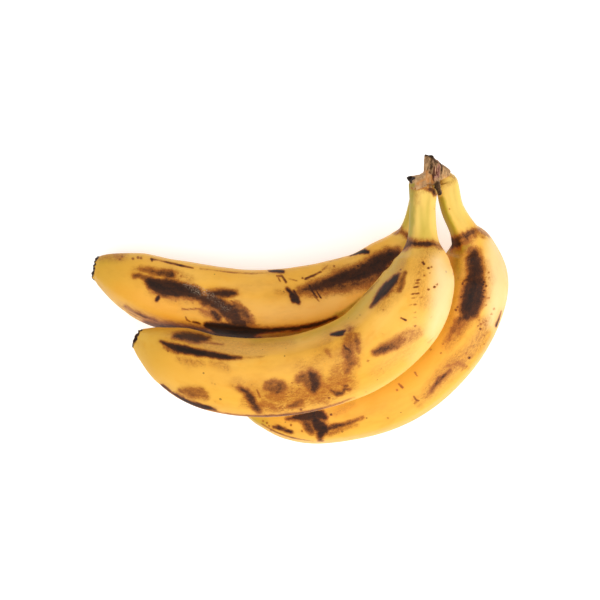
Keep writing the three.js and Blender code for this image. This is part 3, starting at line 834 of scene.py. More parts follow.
class Nodes:
    """Short ways to add and join shader nodes in one tree."""

    def __init__(self, tree):
        self.tree = tree

    def add(self, kind, values=None, **settings):
        made = self.tree.nodes.new(kind)
        for name, value in settings.items():
            setattr(made, name, value)
        for name, value in (values or {}).items():
            self.put(made.inputs[name], value)
        return made

    def put(self, socket, value):
        if isinstance(value, bpy.types.NodeSocket):
            self.tree.links.new(value, socket)
        else:
            socket.default_value = value

    def math(self, operation, *values, clamp=False):
        made = self.add("ShaderNodeMath", operation=operation, use_clamp=clamp)
        for socket, value in zip(made.inputs, values):
            self.put(socket, value)
        return made.outputs[0]

    def times(self, *values, clamp=False):
        return self.math("MULTIPLY", *values, clamp=clamp)

    def plus(self, *values):
        return self.math("ADD", *values)

    def minus(self, *values):
        return self.math("SUBTRACT", *values)

    def mix(self, share, first, second):
        made = self.add("ShaderNodeMix", data_type="RGBA", blend_type="MIX", clamp_factor=True)
        for index, value in ((0, share), (6, first), (7, second)):
            self.put(made.inputs[index], value)
        return made.outputs[2]

    def tint(self, base, colour, share, strength):
        """A base with a colour laid over it, as strongly as share times strength."""
        return self.mix(self.times(share, strength), base, colour)

    def jittered(self, value, pattern, amount):
        """A value that a pattern around one half raises and lowers."""
        return self.plus(value, self.times(self.minus(pattern, 0.5), amount))

    def step(self, value, low, high):
        """0 below low, 1 above high, smooth between."""
        made = self.add(
            "ShaderNodeMapRange", {"Value": value, "From Min": low, "From Max": high},
            interpolation_type="SMOOTHSTEP")
        return made.outputs["Result"]

    def noise(self, vector, scale, detail=3.0, roughness=0.55):
        made = self.add("ShaderNodeTexNoise", {
            "Vector": vector, "Scale": scale, "Detail": detail, "Roughness": roughness})
        return made.outputs["Fac"]

    def stretched(self, vector, scale):
        return self.add("ShaderNodeMapping", {"Vector": vector, "Scale": scale}).outputs["Vector"]

    def stored(self, name, output="Fac"):
        """What is painted or stored on the mesh under a name."""
        return self.add("ShaderNodeAttribute", attribute_name=name).outputs[output]

    def surface(self, base, roughness, height, strength, distance, specular):
        """The bump, the shader and the material's output."""
        bump = self.add("ShaderNodeBump", {"Height": height, "Strength": strength, "Distance": distance})
        shader = self.add("ShaderNodeBsdfPrincipled", {
            "Base Color": base, "Roughness": roughness, "Normal": bump.outputs["Normal"],
            "Specular IOR Level": specular})
        self.add("ShaderNodeOutputMaterial", {"Surface": shader.outputs["BSDF"]})


def new_group(name, inputs, outputs):
    """A shader node group with named sockets: each is (name, socket kind, default or None)."""
    tree = bpy.data.node_groups.new(name, "ShaderNodeTree")
    for in_out, sockets in (("INPUT", inputs), ("OUTPUT", outputs)):
        for label, kind, default in sockets:
            socket = tree.interface.new_socket(name=label, in_out=in_out, socket_type=kind)
            if default is not None:
                socket.default_value = default
    nodes = Nodes(tree)
    return tree, nodes, nodes.add("NodeGroupInput").outputs, nodes.add("NodeGroupOutput").inputs


COLOUR, VALUE, VECTOR = "NodeSocketColor", "NodeSocketFloat", "NodeSocketVector"


CLEAR_TONE = 1.15     # the grain of a bruise fades out towards this tone


def bruise_group():
    """Skin that bruises as a painted tone rises: tan, then brown, then nearly black, all of it grainy."""
    tree, n, given, result = new_group(
        "Bruised skin",
        [("Tone", VALUE, 0.0), ("Vector", VECTOR, None), ("Skin", COLOUR, None), ("Tan", COLOUR, None),
         ("Brown", COLOUR, None), ("Black", COLOUR, None), ("Grain", VALUE, 1200.0),
         ("Raggedness", VALUE, 1.0)],
        [("Color", COLOUR, None), ("Dark", VALUE, None)])
    tone = given["Tone"]
    drawn_out = n.stretched(given["Vector"], (1.0, 1.0, 0.7))
    coarse = n.noise(drawn_out, scale=n.times(given["Grain"], 0.4), detail=4.0, roughness=0.6)
    fine = n.noise(given["Vector"], scale=n.times(given["Grain"], 1.3), detail=3.0, roughness=0.7)
    wander = n.plus(n.minus(coarse, 0.5), n.minus(fine, 0.5))
    unsure = n.times(n.times(tone, n.minus(CLEAR_TONE, tone)), 4.0, clamp=True)
    shaken = n.plus(tone, n.times(n.times(wander, unsure), given["Raggedness"]))
    smear = n.noise(n.stretched(given["Vector"], (1.0, 1.0, 0.14)), scale=500.0, detail=4.0, roughness=0.7)
    skin = n.tint(given["Skin"], given["Tan"], n.step(shaken, low=0.02, high=0.44), strength=0.88)
    skin = n.mix(n.step(shaken, low=0.3, high=0.76), skin, given["Brown"])
    streaked = n.minus(1.0, n.times(n.step(smear, low=0.42, high=0.66), 0.4))
    deep = n.times(n.step(shaken, low=0.6, high=1.02), streaked)
    n.put(result["Color"], n.mix(deep, skin, given["Black"]))
    n.put(result["Dark"], n.step(shaken, low=0.3, high=0.7))
    return tree


def speckle_group():
    """Small freckles, scattered unevenly."""
    tree, n, given, result = new_group(
        "Freckles",
        [("Vector", VECTOR, None), ("Scale", VALUE, 400.0), ("Size", VALUE, 0.2), ("Share", VALUE, 0.3)],
        [("Mask", VALUE, None)])
    cells = n.add("ShaderNodeTexVoronoi", {
        "Vector": given["Vector"], "Scale": given["Scale"], "Randomness": 1.0})
    chance = n.add("ShaderNodeSeparateColor", {"Color": cells.outputs["Color"]})
    picked = n.math("LESS_THAN", chance.outputs["Red"], given["Share"])
    size = n.times(given["Size"], n.plus(chance.outputs["Green"], 0.35))
    shake = n.noise(given["Vector"], scale=2200.0, detail=2.0)
    near = n.minus(size, n.jittered(cells.outputs["Distance"], shake, amount=0.12))
    n.put(result["Mask"], n.times(picked, n.step(near, low=0.0, high=0.06)))
    return tree


def fibre_group():
    """Fine lines that run along a straightened vector, for a bump height or a tint."""
    tree, n, given, result = new_group(
        "Fibres",
        [("Vector", VECTOR, None), ("Scale", VALUE, 900.0), ("Stretch", VALUE, 0.04)],
        [("Height", VALUE, None)])
    squeeze = n.add("ShaderNodeCombineXYZ", {"X": 1.0, "Y": 1.0, "Z": given["Stretch"]}).outputs[0]
    lines = n.stretched(given["Vector"], squeeze)
    n.put(result["Height"], n.noise(lines, scale=given["Scale"], detail=3.0, roughness=0.6))
    return tree


def group_node(n, tree, inputs):
    """Places a shared group with its own values."""
    return n.add("ShaderNodeGroup", node_tree=tree, values=inputs).outputs


def new_material(name):
    material = bpy.data.materials.new(name)
    material.use_nodes = True
    material.node_tree.nodes.clear()
    return material, Nodes(material.node_tree)


NECK_TINT_FADES, NECK_TINT_ENDS = 0.018, 0.04     # metres along the centre line, from the crown
TIP_TINT_LENGTH = 0.035     # and metres back from the blossom end


def peel_material(settings, groups, length):
    """Ripe peel of one finger. length is how long its centre line is, in metres."""
    material, n = new_material(f"ripe_peel_{round(length * 1000)}")
    vector = n.stored("straight", "Vector")
    along = n.add("ShaderNodeSeparateXYZ", {"Vector": vector}).outputs["Z"]

    patches = n.noise(n.stretched(vector, (1, 1, 0.5)), scale=26.0, detail=2.0, roughness=0.5)
    mottle = n.noise(n.stretched(vector, (1, 1, 0.6)), scale=160.0, detail=4.0, roughness=0.6)
    streaks = group_node(n, groups["fibres"], {"Vector": vector, "Scale": 800.0, "Stretch": 0.05})["Height"]
    peel = n.mix(n.step(patches, low=0.38, high=0.68), settings.ripe, settings.pale)
    peel = n.tint(peel, settings.deep, n.step(mottle, low=0.5, high=0.8), strength=0.45)
    peel = n.tint(peel, settings.deep, n.step(streaks, low=0.52, high=0.8), strength=0.16)

    neck = n.minus(1.0, n.step(along, low=NECK_TINT_FADES, high=NECK_TINT_ENDS))
    peel = n.tint(peel, settings.neck, neck, strength=0.8)
    veins = n.noise(n.stretched(vector, (1, 1, 0.2)), scale=90.0, detail=2.0)
    green = n.times(neck, n.step(veins, low=0.45, high=0.7))
    peel = n.tint(peel, settings.green, green, strength=0.55)
    tip = n.step(along, low=length - TIP_TINT_LENGTH, high=length)
    peel = n.tint(peel, settings.green, tip, strength=0.24)

    blush = n.noise(n.stretched(vector, (1, 1, 0.45)), scale=70.0, detail=4.0, roughness=0.65)
    peel = n.tint(peel, settings.tan, n.step(blush, low=0.46, high=0.72), strength=0.22)
    freckles = group_node(n, groups["freckles"], {
        "Vector": vector, "Scale": 260.0, "Size": 0.16, "Share": 0.10})["Mask"]
    peel = n.tint(peel, settings.brown, freckles, strength=0.6)

    # The green layer: the peel's own green on the necks, and olive painted shade along the gaps where
    # fingers lie against each other and on neck faces turned from the light.
    peel = n.tint(peel, settings.green, n.stored("green"), strength=0.8)
    # Painted highlight: cream where the key light strikes the sides, and a bright rim along a lower edge.
    peel = n.mix(n.stored("painted_highlight"), peel, settings.painted_highlight)
    # On the right finger beside the front one, this warm orange is painted shade with the light that the
    # front finger throws back.
    peel = n.mix(n.stored("warm"), peel, settings.deep)

    # The stain layer: tan stains and the halos round bruises, and also tan painted shade along the gaps
    # between the fingers and in the hollow by the right neck.
    stain = n.stored("stain")
    grain = n.noise(n.stretched(vector, (1, 1, 0.5)), scale=1100.0, detail=4.0, roughness=0.7)
    cloud = n.times(stain, n.plus(n.times(n.step(grain, low=0.34, high=0.66), 0.8), 0.4), clamp=True)
    peel = n.mix(cloud, peel, settings.tan)
    specks = n.noise(n.stretched(vector, (1, 1, 0.8)), scale=1400.0, detail=2.0, roughness=0.6)
    specks = n.times(n.step(specks, low=0.58, high=0.68), stain)
    peel = n.tint(peel, settings.brown, specks, strength=0.7)

    bruised = group_node(n, groups["bruise"], {
        "Tone": n.stored("bruise"), "Vector": vector, "Skin": peel, "Tan": settings.tan,
        "Brown": settings.brown, "Black": settings.black, "Grain": 1200.0, "Raggedness": 0.5})
    # Pale crackle: a painted sheen where light glints on the wrinkled skin of the left finger's long bruise,
    # and pale dry skin just under the crown.
    crackle = n.noise(n.stretched(vector, (1.6, 1.6, 1.0)), scale=1500.0, detail=3.0, roughness=0.7)
    sheen_and_pale_skin_tint = n.times(n.stored("sheen_and_pale_skin"), n.step(crackle, low=0.5, high=0.68))
    peel = n.tint(bruised["Color"], settings.sheen_and_pale_skin_tint, sheen_and_pale_skin_tint, strength=0.85)

    mealy = n.noise(vector, scale=1700.0, detail=4.0, roughness=0.75)
    scar = n.stored("scar")
    scorch = n.step(n.plus(scar, n.times(mottle, 0.5)), low=0.35, high=0.75)
    peel = n.tint(peel, settings.brown, scorch, strength=0.6)
    scarred = n.step(n.jittered(scar, mealy, amount=0.6), low=0.4, high=0.6)
    burnt = n.mix(n.step(mealy, low=0.4, high=0.7), settings.black, settings.brown)
    peel = n.mix(scarred, peel, burnt)

    dry = n.math("MAXIMUM", bruised["Dark"], scarred)
    rough = n.plus(n.times(dry, 0.14), n.times(mottle, 0.16))
    rough = n.plus(rough, 0.36)
    pores = n.noise(vector, scale=3200.0, detail=3.0, roughness=0.7)
    height = n.plus(n.times(streaks, 0.5), n.times(pores, 0.2))
    height = n.minus(height, n.times(bruised["Dark"], 0.3))
    height = n.plus(height, n.times(n.times(crackle, dry), 0.4))
    n.surface(peel, rough, height, strength=0.35, distance=0.0003, specular=0.22)
    return material


def crown_material(crown, peel, groups):
    """Dry skin, torn fibres and blackened edges of the crown."""
    material, n = new_material("dry_crown")
    vector = n.add("ShaderNodeTexCoord").outputs["Object"]
    fibre = n.stored("fibre", "Vector")
    lines = group_node(n, groups["fibres"], {"Vector": fibre, "Scale": 900.0, "Stretch": 0.14})["Height"]
    threads = group_node(n, groups["fibres"], {"Vector": fibre, "Scale": 1800.0, "Stretch": 0.12})["Height"]
    mottle = n.noise(vector, scale=420.0, detail=4.0, roughness=0.65)
    grain = n.noise(vector, scale=1500.0, detail=4.0, roughness=0.75)

    skin = n.mix(n.step(mottle, low=0.35, high=0.7), crown.tan, crown.pale)
    warm = n.jittered(n.stored("warm"), grain, amount=0.8)
    skin = n.mix(n.step(warm, low=0.1, high=0.95), skin, crown.orange)
    torn = n.jittered(n.stored("torn"), grain, amount=1.2)
    flesh = n.mix(n.step(lines, low=0.46, high=0.56), crown.purple, crown.pink)
    skin = n.mix(n.step(torn, low=0.3, high=0.6), skin, flesh)
    skin = n.tint(skin, crown.brown, n.step(lines, low=0.5, high=0.38), strength=0.65)
    skin = n.tint(skin, crown.pale, n.step(threads, low=0.5, high=0.62), strength=0.55)
    fresh = n.jittered(n.stored("yellow"), mottle, amount=0.7)
    skin = n.mix(n.step(fresh, low=0.3, high=0.9), skin, peel.neck)
    skin = n.mix(n.stored("green"), skin, peel.green)
    skin = group_node(n, groups["bruise"], {
        "Tone": n.stored("dark"), "Vector": fibre, "Skin": skin, "Tan": crown.tan,
        "Brown": crown.brown, "Black": crown.black, "Grain": 1300.0, "Raggedness": 0.9})["Color"]

    height = n.plus(n.times(lines, 0.9), n.times(threads, 0.4))
    height = n.plus(height, n.times(grain, 0.3))
    rough = n.plus(n.times(lines, 0.2), 0.62)
    n.surface(skin, rough, height, strength=0.7, distance=0.0007, specular=0.2)
    return material


def shared_groups():
    """The node groups that the materials share, built once."""
    wanted = {"bruise": ("Bruised skin", bruise_group), "freckles": ("Freckles", speckle_group),
              "fibres": ("Fibres", fibre_group)}
    return {key: bpy.data.node_groups.get(name) or make() for key, (name, make) in wanted.items()}


# ------------------------------------------------------------------ fingers

RIM_SHORT = 1.1      # how far the rim stays short of the end of the centre line
RIM_ROLL = 0.6       # how far the dry rim of a blossom end rolls over
SCAR_DEPTH = 1.2     # how far the blossom scar lies below its rim
SCAR_CURVE = 0.6
NECK_ROWS, TIP_ROWS = 2, 10
ROLL_SHARE = 0.4     # share of the tip's rows that roll over the rim
SOFT_LUMPS, SMALL_LUMPS, SMALL_LUMP_SHARE = 14.0, 5.0, 0.4
NECK_CALM, TIP_CALM, LEAST_LUMPS = 12, 6, 0.3     # lumps fade out this near to the ends, down to this share
SMALL_GRAIN = (1, 1, 0.5)     # small lumps are twice as long as they are wide
RIM_WIDTH = 1.2
ROUND_THE_RIM = (1, 1, 0.1)   # shreds of the rim vary round it and hardly along it
SHREDS, WIDE_SHREDS, WIDE_SHREDS_SHARE = 1.1, 2.4, 0.6
SHRED_OUT, SHRED_AHEAD = 0.35, 0.7
SCAR_WIDTH, SCAR_WANDER, SCAR_WAVES = 1.4, 0.7, 3.0


def finger_profile(rings):
    """Rows along a finger: a neck end inside the crown, the body, a rolled rim and a sunken scar."""
    def profile(fraction, sweep):
        row = fraction * rings
        body = np.clip((row - NECK_ROWS) / (rings - NECK_ROWS - TIP_ROWS), 0, 1)
        far = body * (sweep.length - RIM_SHORT + NECK_REACH) - NECK_REACH
        scale = np.clip(row / NECK_ROWS, 0, 1)
        beyond = np.clip((row - (rings - TIP_ROWS)) / TIP_ROWS, 0, 1)
        turn = np.clip(beyond / ROLL_SHARE, 0, 1) * np.pi / 2
        sunk = np.clip((beyond - ROLL_SHARE) / (1 - ROLL_SHARE), 0, 1)
        less = RIM_ROLL * (1 - np.cos(turn)) * (beyond > 0)
        far = far + RIM_ROLL * np.sin(turn) * (beyond > 0) - SCAR_DEPTH * sunk ** SCAR_CURVE
        left = np.where(beyond > ROLL_SHARE, 1 - sunk, 1.0)
        return far, scale * left, less * left

    return profile


def roughen_finger(piece, sweep, settings, seed):
    """Soft lumps in the peel and a ragged rim at the blossom end."""
    mesh = piece.data
    places = vertex_places(mesh)
    straight = read_vectors(mesh, "straight") / MM
    normals = vertex_normals(mesh)
    far = straight[:, 2]
    lumps = soft_noise(straight * ALONG_GRAIN, SOFT_LUMPS, seed)
    lumps = lumps + SMALL_LUMP_SHARE * soft_noise(straight * SMALL_GRAIN, SMALL_LUMPS, seed + 9)
    body = np.clip(far / NECK_CALM, 0, 1) * np.clip((sweep.length - far) / TIP_CALM, 0, 1)
    lift = settings.unevenness * lumps * (LEAST_LUMPS + (1 - LEAST_LUMPS) * body)
    places += normals * lift[:, None]
    from_end = sweep.length - RIM_SHORT - far
    rim = np.exp(-(from_end / RIM_WIDTH) ** 2)
    level = straight * ROUND_THE_RIM
    ragged = soft_noise(level, SHREDS, seed + 3)
    ragged = ragged + WIDE_SHREDS_SHARE * soft_noise(level, WIDE_SHREDS, seed + 4)
    _, _, ahead, _, _ = sweep.at(far)
    places += (normals * SHRED_OUT + ahead * SHRED_AHEAD) * (rim * ragged * MM)[:, None]
    places[:, 2] = np.maximum(places[:, 2], 0)
    set_places(mesh, places)
    wander = soft_noise(straight, SCAR_WAVES, seed + 5)
    write_attribute(mesh, "scar", np.clip(1 - (from_end + SCAR_WANDER * wander) / SCAR_WIDTH, 0, 1))


class PLANTAIN_OT_fingers(bpy.types.Operator):
    """Add the fingers, each with its neck, faces, bruises and blossom scar"""
    bl_idname = "plantain.fingers"
    bl_label = "Fingers"

    def execute(self, context):
        settings = context.scene.plantain_peel
        groups = shared_groups()
        for seed, (name, finger) in enumerate(FINGERS.items()):
            piece, sweep = swept_piece(
                f"peel_{name}", finger["stations"], finger["ridges"], settings.rings, settings.points,
                finger_profile(settings.rings))
            roughen_finger(piece, sweep, settings, 11.0 * (seed + 1))
            paint = Paint(piece, "straight", FINGER_STEEP)
            for marks in SEEN_MARKS[name]:
                paint.mark(marks)
            paint.mark(UNDER_MARKS[name], under=True)
            paint.write("bruise", "stain", "sheen_and_pale_skin", "green", "painted_highlight", "warm")
            piece.data.materials.append(peel_material(settings, groups, sweep.length * MM))
            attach(piece, "root")
            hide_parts(name)
        return {"FINISHED"}


# ------------------------------------------------------------------ crown

COLLARS = {
    "finger_front": (
        (66.8, 62.1, 51, 5.3), (68.4, 65, 50, 4.6), (69.0, 68.8, 48, 4.3), (68.2, 71.6, 46, 3.5),
    ),
    "finger_left": ((65.8, 62.4, 38.5, 5.1), (68.3, 66, 41, 3.3), (69.5, 70, 43.5, 3.1)),
    "finger_right": ((75.5, 66.0, 42.5, 3.9), (74.2, 67.6, 43, 3.3), (72.4, 69.4, 44, 2.6)),
}
COLLAR_OVERLAP = 0.4     # how far a collar reaches back over its neck
COLLAR_TUCK = 0.1        # how much thinner it starts than the neck
COLLAR_LEAD, COLLAR_SWELL = 0.9, 0.05     # it runs on straight this far, this much thicker than the neck
PAD_CORNERS = (
    (65.0, 75.9, 47), (65.3, 75.7, 41.5), (68.6, 75.2, 48), (69.5, 74.6, 40), (72.7, 71.4, 49),
    (73.3, 71.6, 39), (75.6, 68.6, 47.5), (76.2, 69, 39.5), (78.6, 65.2, 46), (79, 65.4, 40.5),
    (64.6, 69.8, 50), (65.3, 70.4, 39.5), (64.4, 65.5, 50), (65.2, 65.5, 38), (67, 61, 55),
    (71.5, 61.5, 52), (76, 63.5, 47), (70, 63, 36.5), (75.5, 64.5, 38),
)
FLAP_CORNERS = (
    (55.4, 64.4, 42), (56.6, 65.2, 44.5), (61.5, 65.2, 45.5), (65, 64.6, 44), (65, 63.5, 39),
    (57.8, 60.8, 43.5), (59.4, 60.6, 40), (63.5, 61, 44), (57.2, 63.4, 39.5),
)
STUB_STATIONS = (
    (70, 62.5, 54, 2.2), (70.7, 59.5, 57.6, 1.6), (71.1, 57, 58.4, 1.3), (71.8, 55, 57.6, 1.5),
    (72, 54.2, 57, 0.8),
)
STUB_RIDGES = (0, 72, 144, 216, 288)
COLLAR_ROWS, COLLAR_POINTS, STUB_ROWS, STUB_POINTS = 40, 60, 30, 30
HULL_BEVEL = 0.5
SMOOTH_SHARE, SMOOTH_PASSES = 0.5, 4
CUT_PLACE = (70.5, 73.5, 44.5)        # where the fibres meet
FIBRE_AXIS, FIBRE_SPREAD = (70, 45), 8     # they turn about this x and z
RIB_WIDTH, RIB_STRETCH = 1.1, (1, 1, 0.18)
THREAD_WIDTH, THREAD_STRETCH, THREAD_SHARE = 0.55, (1, 1, 0.3), 0.6
PIT_DEPTH, PIT_SIZE = 0.35, 2.6
NECK_CLEAR, NECK_FADE = 6.5, 3        # no carving this near a neck's end, full carving after this much more


def closed_profile(fraction, sweep):
    """Even rows with both ends closed."""
    inside = ((fraction > 0) & (fraction < 1)).astype(float)
    return fraction * sweep.length, inside, np.zeros_like(fraction)


def collar_piece(name):
    stations = np.array(FINGERS[name]["stations"][:2], float)
    away = stations[0] - stations[1]
    away = away / np.linalg.norm(away[:3])
    end = stations[0]
    start = end - away * COLLAR_OVERLAP
    start[3] = end[3] - COLLAR_TUCK
    lead = end + away * COLLAR_LEAD
    lead[3] = end[3] + COLLAR_SWELL
    rows = [*COLLARS[name][::-1], tuple(lead), tuple(start)]
    piece, _ = swept_piece(
        f"collar_{name}", rows, FINGERS[name]["ridges"], COLLAR_ROWS, COLLAR_POINTS, closed_profile)
    return piece


def hull_piece(name, corners):
    mesh = bpy.data.meshes.new(name)
    mesh.from_pydata([Vector(c) * MM for c in corners], [], [])
    piece = bpy.data.objects.new(name, mesh)
    bpy.context.collection.objects.link(piece)
    edit_mesh(
        piece,
        lambda: bpy.ops.mesh.convex_hull(),
        lambda: bpy.ops.mesh.bevel(offset=HULL_BEVEL * MM, segments=2, affect="EDGES"),
        lambda: bpy.ops.mesh.normals_make_consistent(inside=False))
    return piece


def carve_crown(piece, settings):
    """Fibres that run up to the cut, and shallow pits."""
    mesh = piece.data
    places = vertex_places(mesh)
    normals = vertex_normals(mesh)
    mm = places / MM
    spread = np.arctan2(mm[:, 0] - FIBRE_AXIS[0], mm[:, 2] - FIBRE_AXIS[1])
    height = np.linalg.norm(np.array(CUT_PLACE) - mm, axis=1)
    fibre = np.stack([np.cos(spread) * FIBRE_SPREAD, np.sin(spread) * FIBRE_SPREAD, height], -1)
    ribs = soft_noise(fibre * RIB_STRETCH, RIB_WIDTH, seed=4.0)
    ribs = ribs + THREAD_SHARE * soft_noise(fibre * THREAD_STRETCH, THREAD_WIDTH, seed=8.0)
    pits = soft_noise(mm, PIT_SIZE, seed=2.0)
    neck_ends = np.array([f["stations"][0][:3] for f in FINGERS.values()], float)
    from_neck = np.min(np.linalg.norm(mm[:, None] - neck_ends[None], axis=-1), axis=1)
    free = np.clip((from_neck - NECK_CLEAR) / NECK_FADE, 0, 1)
    lift = settings.fibre * ribs * free + PIT_DEPTH * MM * pits * free
    set_places(mesh, places + normals * lift[:, None])
    write_attribute(mesh, "fibre", fibre * MM)


CROWN_DRIED_EDGE = (
    bruise((424.5, 155, 0.7), (429, 155.5, 0.7), (432.5, 157, 0.8), (434.5, 160, 0.4), dark=0.9, soft=0.5,
        ragged=0.5),
    bruise((435, 161, 0.2), (440, 163.3, 0.3), (446, 168, 0.2), (451, 174, 0.2), dark=0.8, soft=0.4,
        ragged=0.4),
    bruise((424.3, 158, 0.1), (424.3, 170, 0.1), (421, 175, 0.2), dark=0.35, soft=0.5, ragged=0.3),
)
CROWN_CRACKS = (
    bruise((441, 163.5, 0.3), (441.7, 168, 0.2), (441, 175, 0.1), dark=0.72, soft=0.35, ragged=0.6),
    bruise((431.5, 159, 0.4), (431, 166, 0.6), (430.5, 172, 0.4), dark=0.74, soft=0.5, ragged=0.7),
    bruise((434.5, 161, 0.3), (435.5, 164, 0.3), dark=0.6, soft=0.5, ragged=0.7),
    bruise((440.5, 175, 0.1), (439.5, 182, 0.1), dark=0.6, soft=0.3, ragged=0.4),
    bruise((449.5, 171.5, 0.1), (447.5, 169, 0.1), dark=0.7, soft=0.4, ragged=0.4),
    bruise((426, 160, 1.0), (430, 161, 1.2), (433, 163, 0.8), dark=0.4, soft=1.0, ragged=0.8),
    bruise((429, 184, 0.5), (431, 189, 0.8), (429.5, 192, 0.4), dark=0.55, soft=0.6, ragged=0.7),
    bruise((416, 186, 0.4), (421, 184.5, 0.6), (428, 186.5, 0.4), dark=0.45, soft=0.7, ragged=0.8),
    bruise((423, 176, 0.2), (425, 181, 0.2), (421, 184, 0.2), dark=0.35, soft=0.4, ragged=0.6),
    bruise((443, 181.5, 0.2), (447, 182, 0.3), (450, 180, 0.2), dark=0.4, soft=0.5, ragged=0.7),
)
CROWN_FLAP_AND_STUB = (
    bruise((406, 177.5, 1.2), (410, 178.5, 1.3), (414, 178, 0.6), soft=0.3, ragged=0.2),
    bruise((410, 180, 0.9), (411.5, 182.5, 0.4), soft=0.3, ragged=0.2),
    bruise((438.5, 181, 0.5), (437.5, 186, 1.4), (437.5, 192, 2.2), (440.5, 195, 2.0), dark=0.84, soft=0.7,
        ragged=0.7),
    bruise((439.3, 183, 0.3), (439.6, 189, 0.3), (441, 194, 0.6), dark=0.95, soft=0.5, ragged=0.6),
)
CROWN_FIBRES_AND_SKIN = (
    stain((434.5, 160, 1.4), (437, 165, 2.4), (436, 171, 2.4), (436, 178, 1.6), strength=1, soft=0.8,
        layer="torn"),
    stain((427, 172, 1.2), (430, 178, 2.4), (428, 184, 2.2), strength=1, soft=1.2, layer="warm"),
    stain((442, 185, 2.4), (449, 183.5, 3.0), (457, 181, 2.4), strength=1, soft=1.2, layer="yellow"),
    stain((442, 176, 1.0), (447, 178, 1.4), (450, 176, 0.8), strength=0.5, soft=1.0, layer="warm"),
    stain((410, 187, 1.6), (413, 185, 1.2), strength=0.7, soft=0.8, layer="green"),
    stain((418, 184, 1.4), (425, 182, 2.2), (432, 184, 1.8), strength=0.9, soft=1.2, layer="warm"),
)
CROWN_MARKS = (CROWN_DRIED_EDGE, CROWN_CRACKS, CROWN_FLAP_AND_STUB, CROWN_FIBRES_AND_SKIN)


class PLANTAIN_OT_crown(bpy.types.Operator):
    """Add the dry crown with its collars, dried flap and shrivelled stub"""
    bl_idname = "plantain.crown"
    bl_label = "Crown"

    def execute(self, context):
        settings = context.scene.plantain_crown
        parts = [collar_piece(name) for name in FINGERS]
        parts.append(hull_piece("pad", PAD_CORNERS))
        parts.append(hull_piece("flap", FLAP_CORNERS))
        stub, _ = swept_piece("stub", STUB_STATIONS, STUB_RIDGES, STUB_ROWS, STUB_POINTS, closed_profile)
        parts.append(stub)
        deselect_all()
        for part in parts:
            part.select_set(True)
        bpy.context.view_layer.objects.active = parts[0]
        bpy.ops.object.join()
        piece = bpy.context.object
        piece.name = piece.data.name = "dry_crown"
        remesh = piece.modifiers.new("Remesh", "REMESH")
        remesh.mode = "VOXEL"
        remesh.voxel_size = settings.voxel
        smooth = piece.modifiers.new("Smooth", "SMOOTH")
        smooth.factor = SMOOTH_SHARE
        smooth.iterations = SMOOTH_PASSES
        apply_modifiers(piece)
        if "straight" in piece.data.attributes:
            piece.data.attributes.remove(piece.data.attributes["straight"])
        carve_crown(piece, settings)
        bpy.ops.object.shade_smooth()
        paint = Paint(piece, "fibre", CROWN_STEEP)
        for marks in CROWN_MARKS:
            paint.mark(marks)
        paint.layers["dark"] = paint.layers.pop("bruise")
        paint.write("dark", "torn", "warm", "yellow", "green")
        piece.data.materials.clear()
        piece.data.materials.append(crown_material(settings, context.scene.plantain_peel, shared_groups()))
        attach(piece, "root")
        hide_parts("crown")
        return {"FINISHED"}


# ------------------------------------------------------------------ stage

FLOOR_SIZE = 6.0         # metres, like the other places and sizes of the stage
LIGHT_SIZE = 1.0
LIGHT_AIM = (0, 0, 0.03)
KEY_PLACE = (0.95, -0.55, 0.9)
FILL_PLACE = (-0.3, -0.25, 1.3)


def area_light(name, place, power):
    deselect_all()
    bpy.ops.object.light_add(type="AREA", location=place)
    lamp = bpy.context.object
    lamp.name = name
    lamp.data.shape = "DISK"
    lamp.data.size = LIGHT_SIZE
    lamp.data.energy = power
    lamp.rotation_euler = (Vector(LIGHT_AIM) - Vector(place)).to_track_quat("-Z", "Y").to_euler()


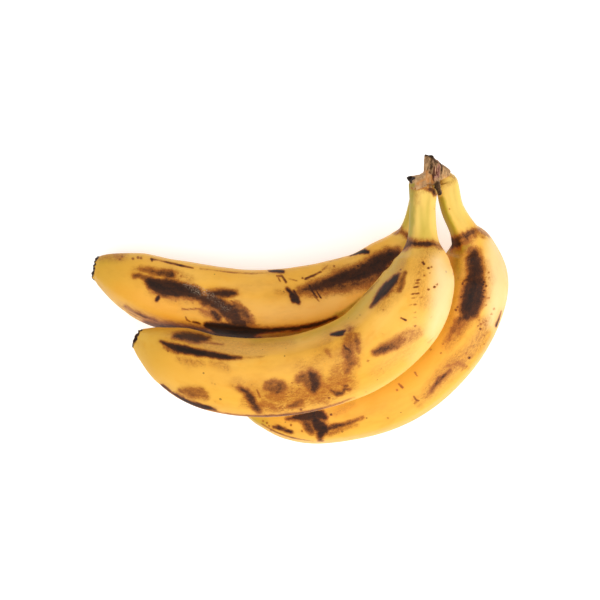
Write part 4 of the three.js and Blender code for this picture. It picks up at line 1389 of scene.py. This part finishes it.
class PLANTAIN_OT_stage(bpy.types.Operator):
    """Add the floor, the soft lights and the camera straight above"""
    bl_idname = "plantain.stage"
    bl_label = "Stage"

    def execute(self, context):
        settings = context.scene.plantain_stage
        deselect_all()
        bpy.ops.mesh.primitive_plane_add(size=FLOOR_SIZE, location=(0, 0, 0))
        floor = bpy.context.object
        floor.name = "pale_floor"
        material, n = new_material("pale_floor")
        shader = n.add("ShaderNodeBsdfPrincipled", {
            "Base Color": settings.floor, "Roughness": 0.9, "Emission Color": settings.floor,
            "Emission Strength": settings.floor_glow})
        n.add("ShaderNodeOutputMaterial", {"Surface": shader.outputs["BSDF"]})
        floor.data.materials.append(material)
        area_light("key", KEY_PLACE, settings.key_power)
        area_light("fill", FILL_PLACE, settings.fill_power)
        world = bpy.data.worlds.new("pale_sky")
        world.use_nodes = True
        sky = world.node_tree.nodes["Background"]
        sky.inputs["Color"].default_value = (1, 1, 1, 1)
        sky.inputs["Strength"].default_value = settings.sky
        context.scene.world = world
        context.scene.view_settings.view_transform = "Standard"
        context.scene.view_settings.look = "None"
        deselect_all()
        bpy.ops.object.camera_add(location=(0, 0, EYE_HEIGHT), rotation=(0, 0, 0))
        camera = bpy.context.object
        camera.data.lens = LENS_MM
        camera.data.sensor_width = SENSOR_MM
        context.scene.camera = camera
        return {"FINISHED"}


# ------------------------------------------------------------------ panel and registration

class PLANTAIN_PT_panel(bpy.types.Panel):
    """Lists the pieces of the hand and their settings"""
    bl_idname = "PLANTAIN_PT_panel"
    bl_label = "Plantain Hand"
    bl_space_type = "VIEW_3D"
    bl_region_type = "UI"
    bl_category = "Plantain"

    def draw(self, context):
        scene = context.scene
        for settings, operator in (
            (scene.plantain_peel, "plantain.fingers"), (scene.plantain_crown, "plantain.crown"),
            (scene.plantain_stage, "plantain.stage"),
        ):
            box = self.layout.box()
            for name in settings.__annotations__:
                box.prop(settings, name)
            box.operator(operator)


CLASSES = (
    PlantainPeel, PlantainCrown, PlantainStage,
    PLANTAIN_OT_fingers, PLANTAIN_OT_crown, PLANTAIN_OT_stage, PLANTAIN_PT_panel,
)


def register():
    for cls in CLASSES:
        bpy.utils.register_class(cls)
    bpy.types.Scene.plantain_peel = PointerProperty(type=PlantainPeel)
    bpy.types.Scene.plantain_crown = PointerProperty(type=PlantainCrown)
    bpy.types.Scene.plantain_stage = PointerProperty(type=PlantainStage)


def unregister():
    del bpy.types.Scene.plantain_stage
    del bpy.types.Scene.plantain_crown
    del bpy.types.Scene.plantain_peel
    for cls in reversed(CLASSES):
        bpy.utils.unregister_class(cls)


def main():
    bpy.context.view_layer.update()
    register()
    bpy.ops.plantain.stage()
    bpy.ops.plantain.fingers()
    bpy.ops.plantain.crown()


if __name__ == "__main__":
    main()
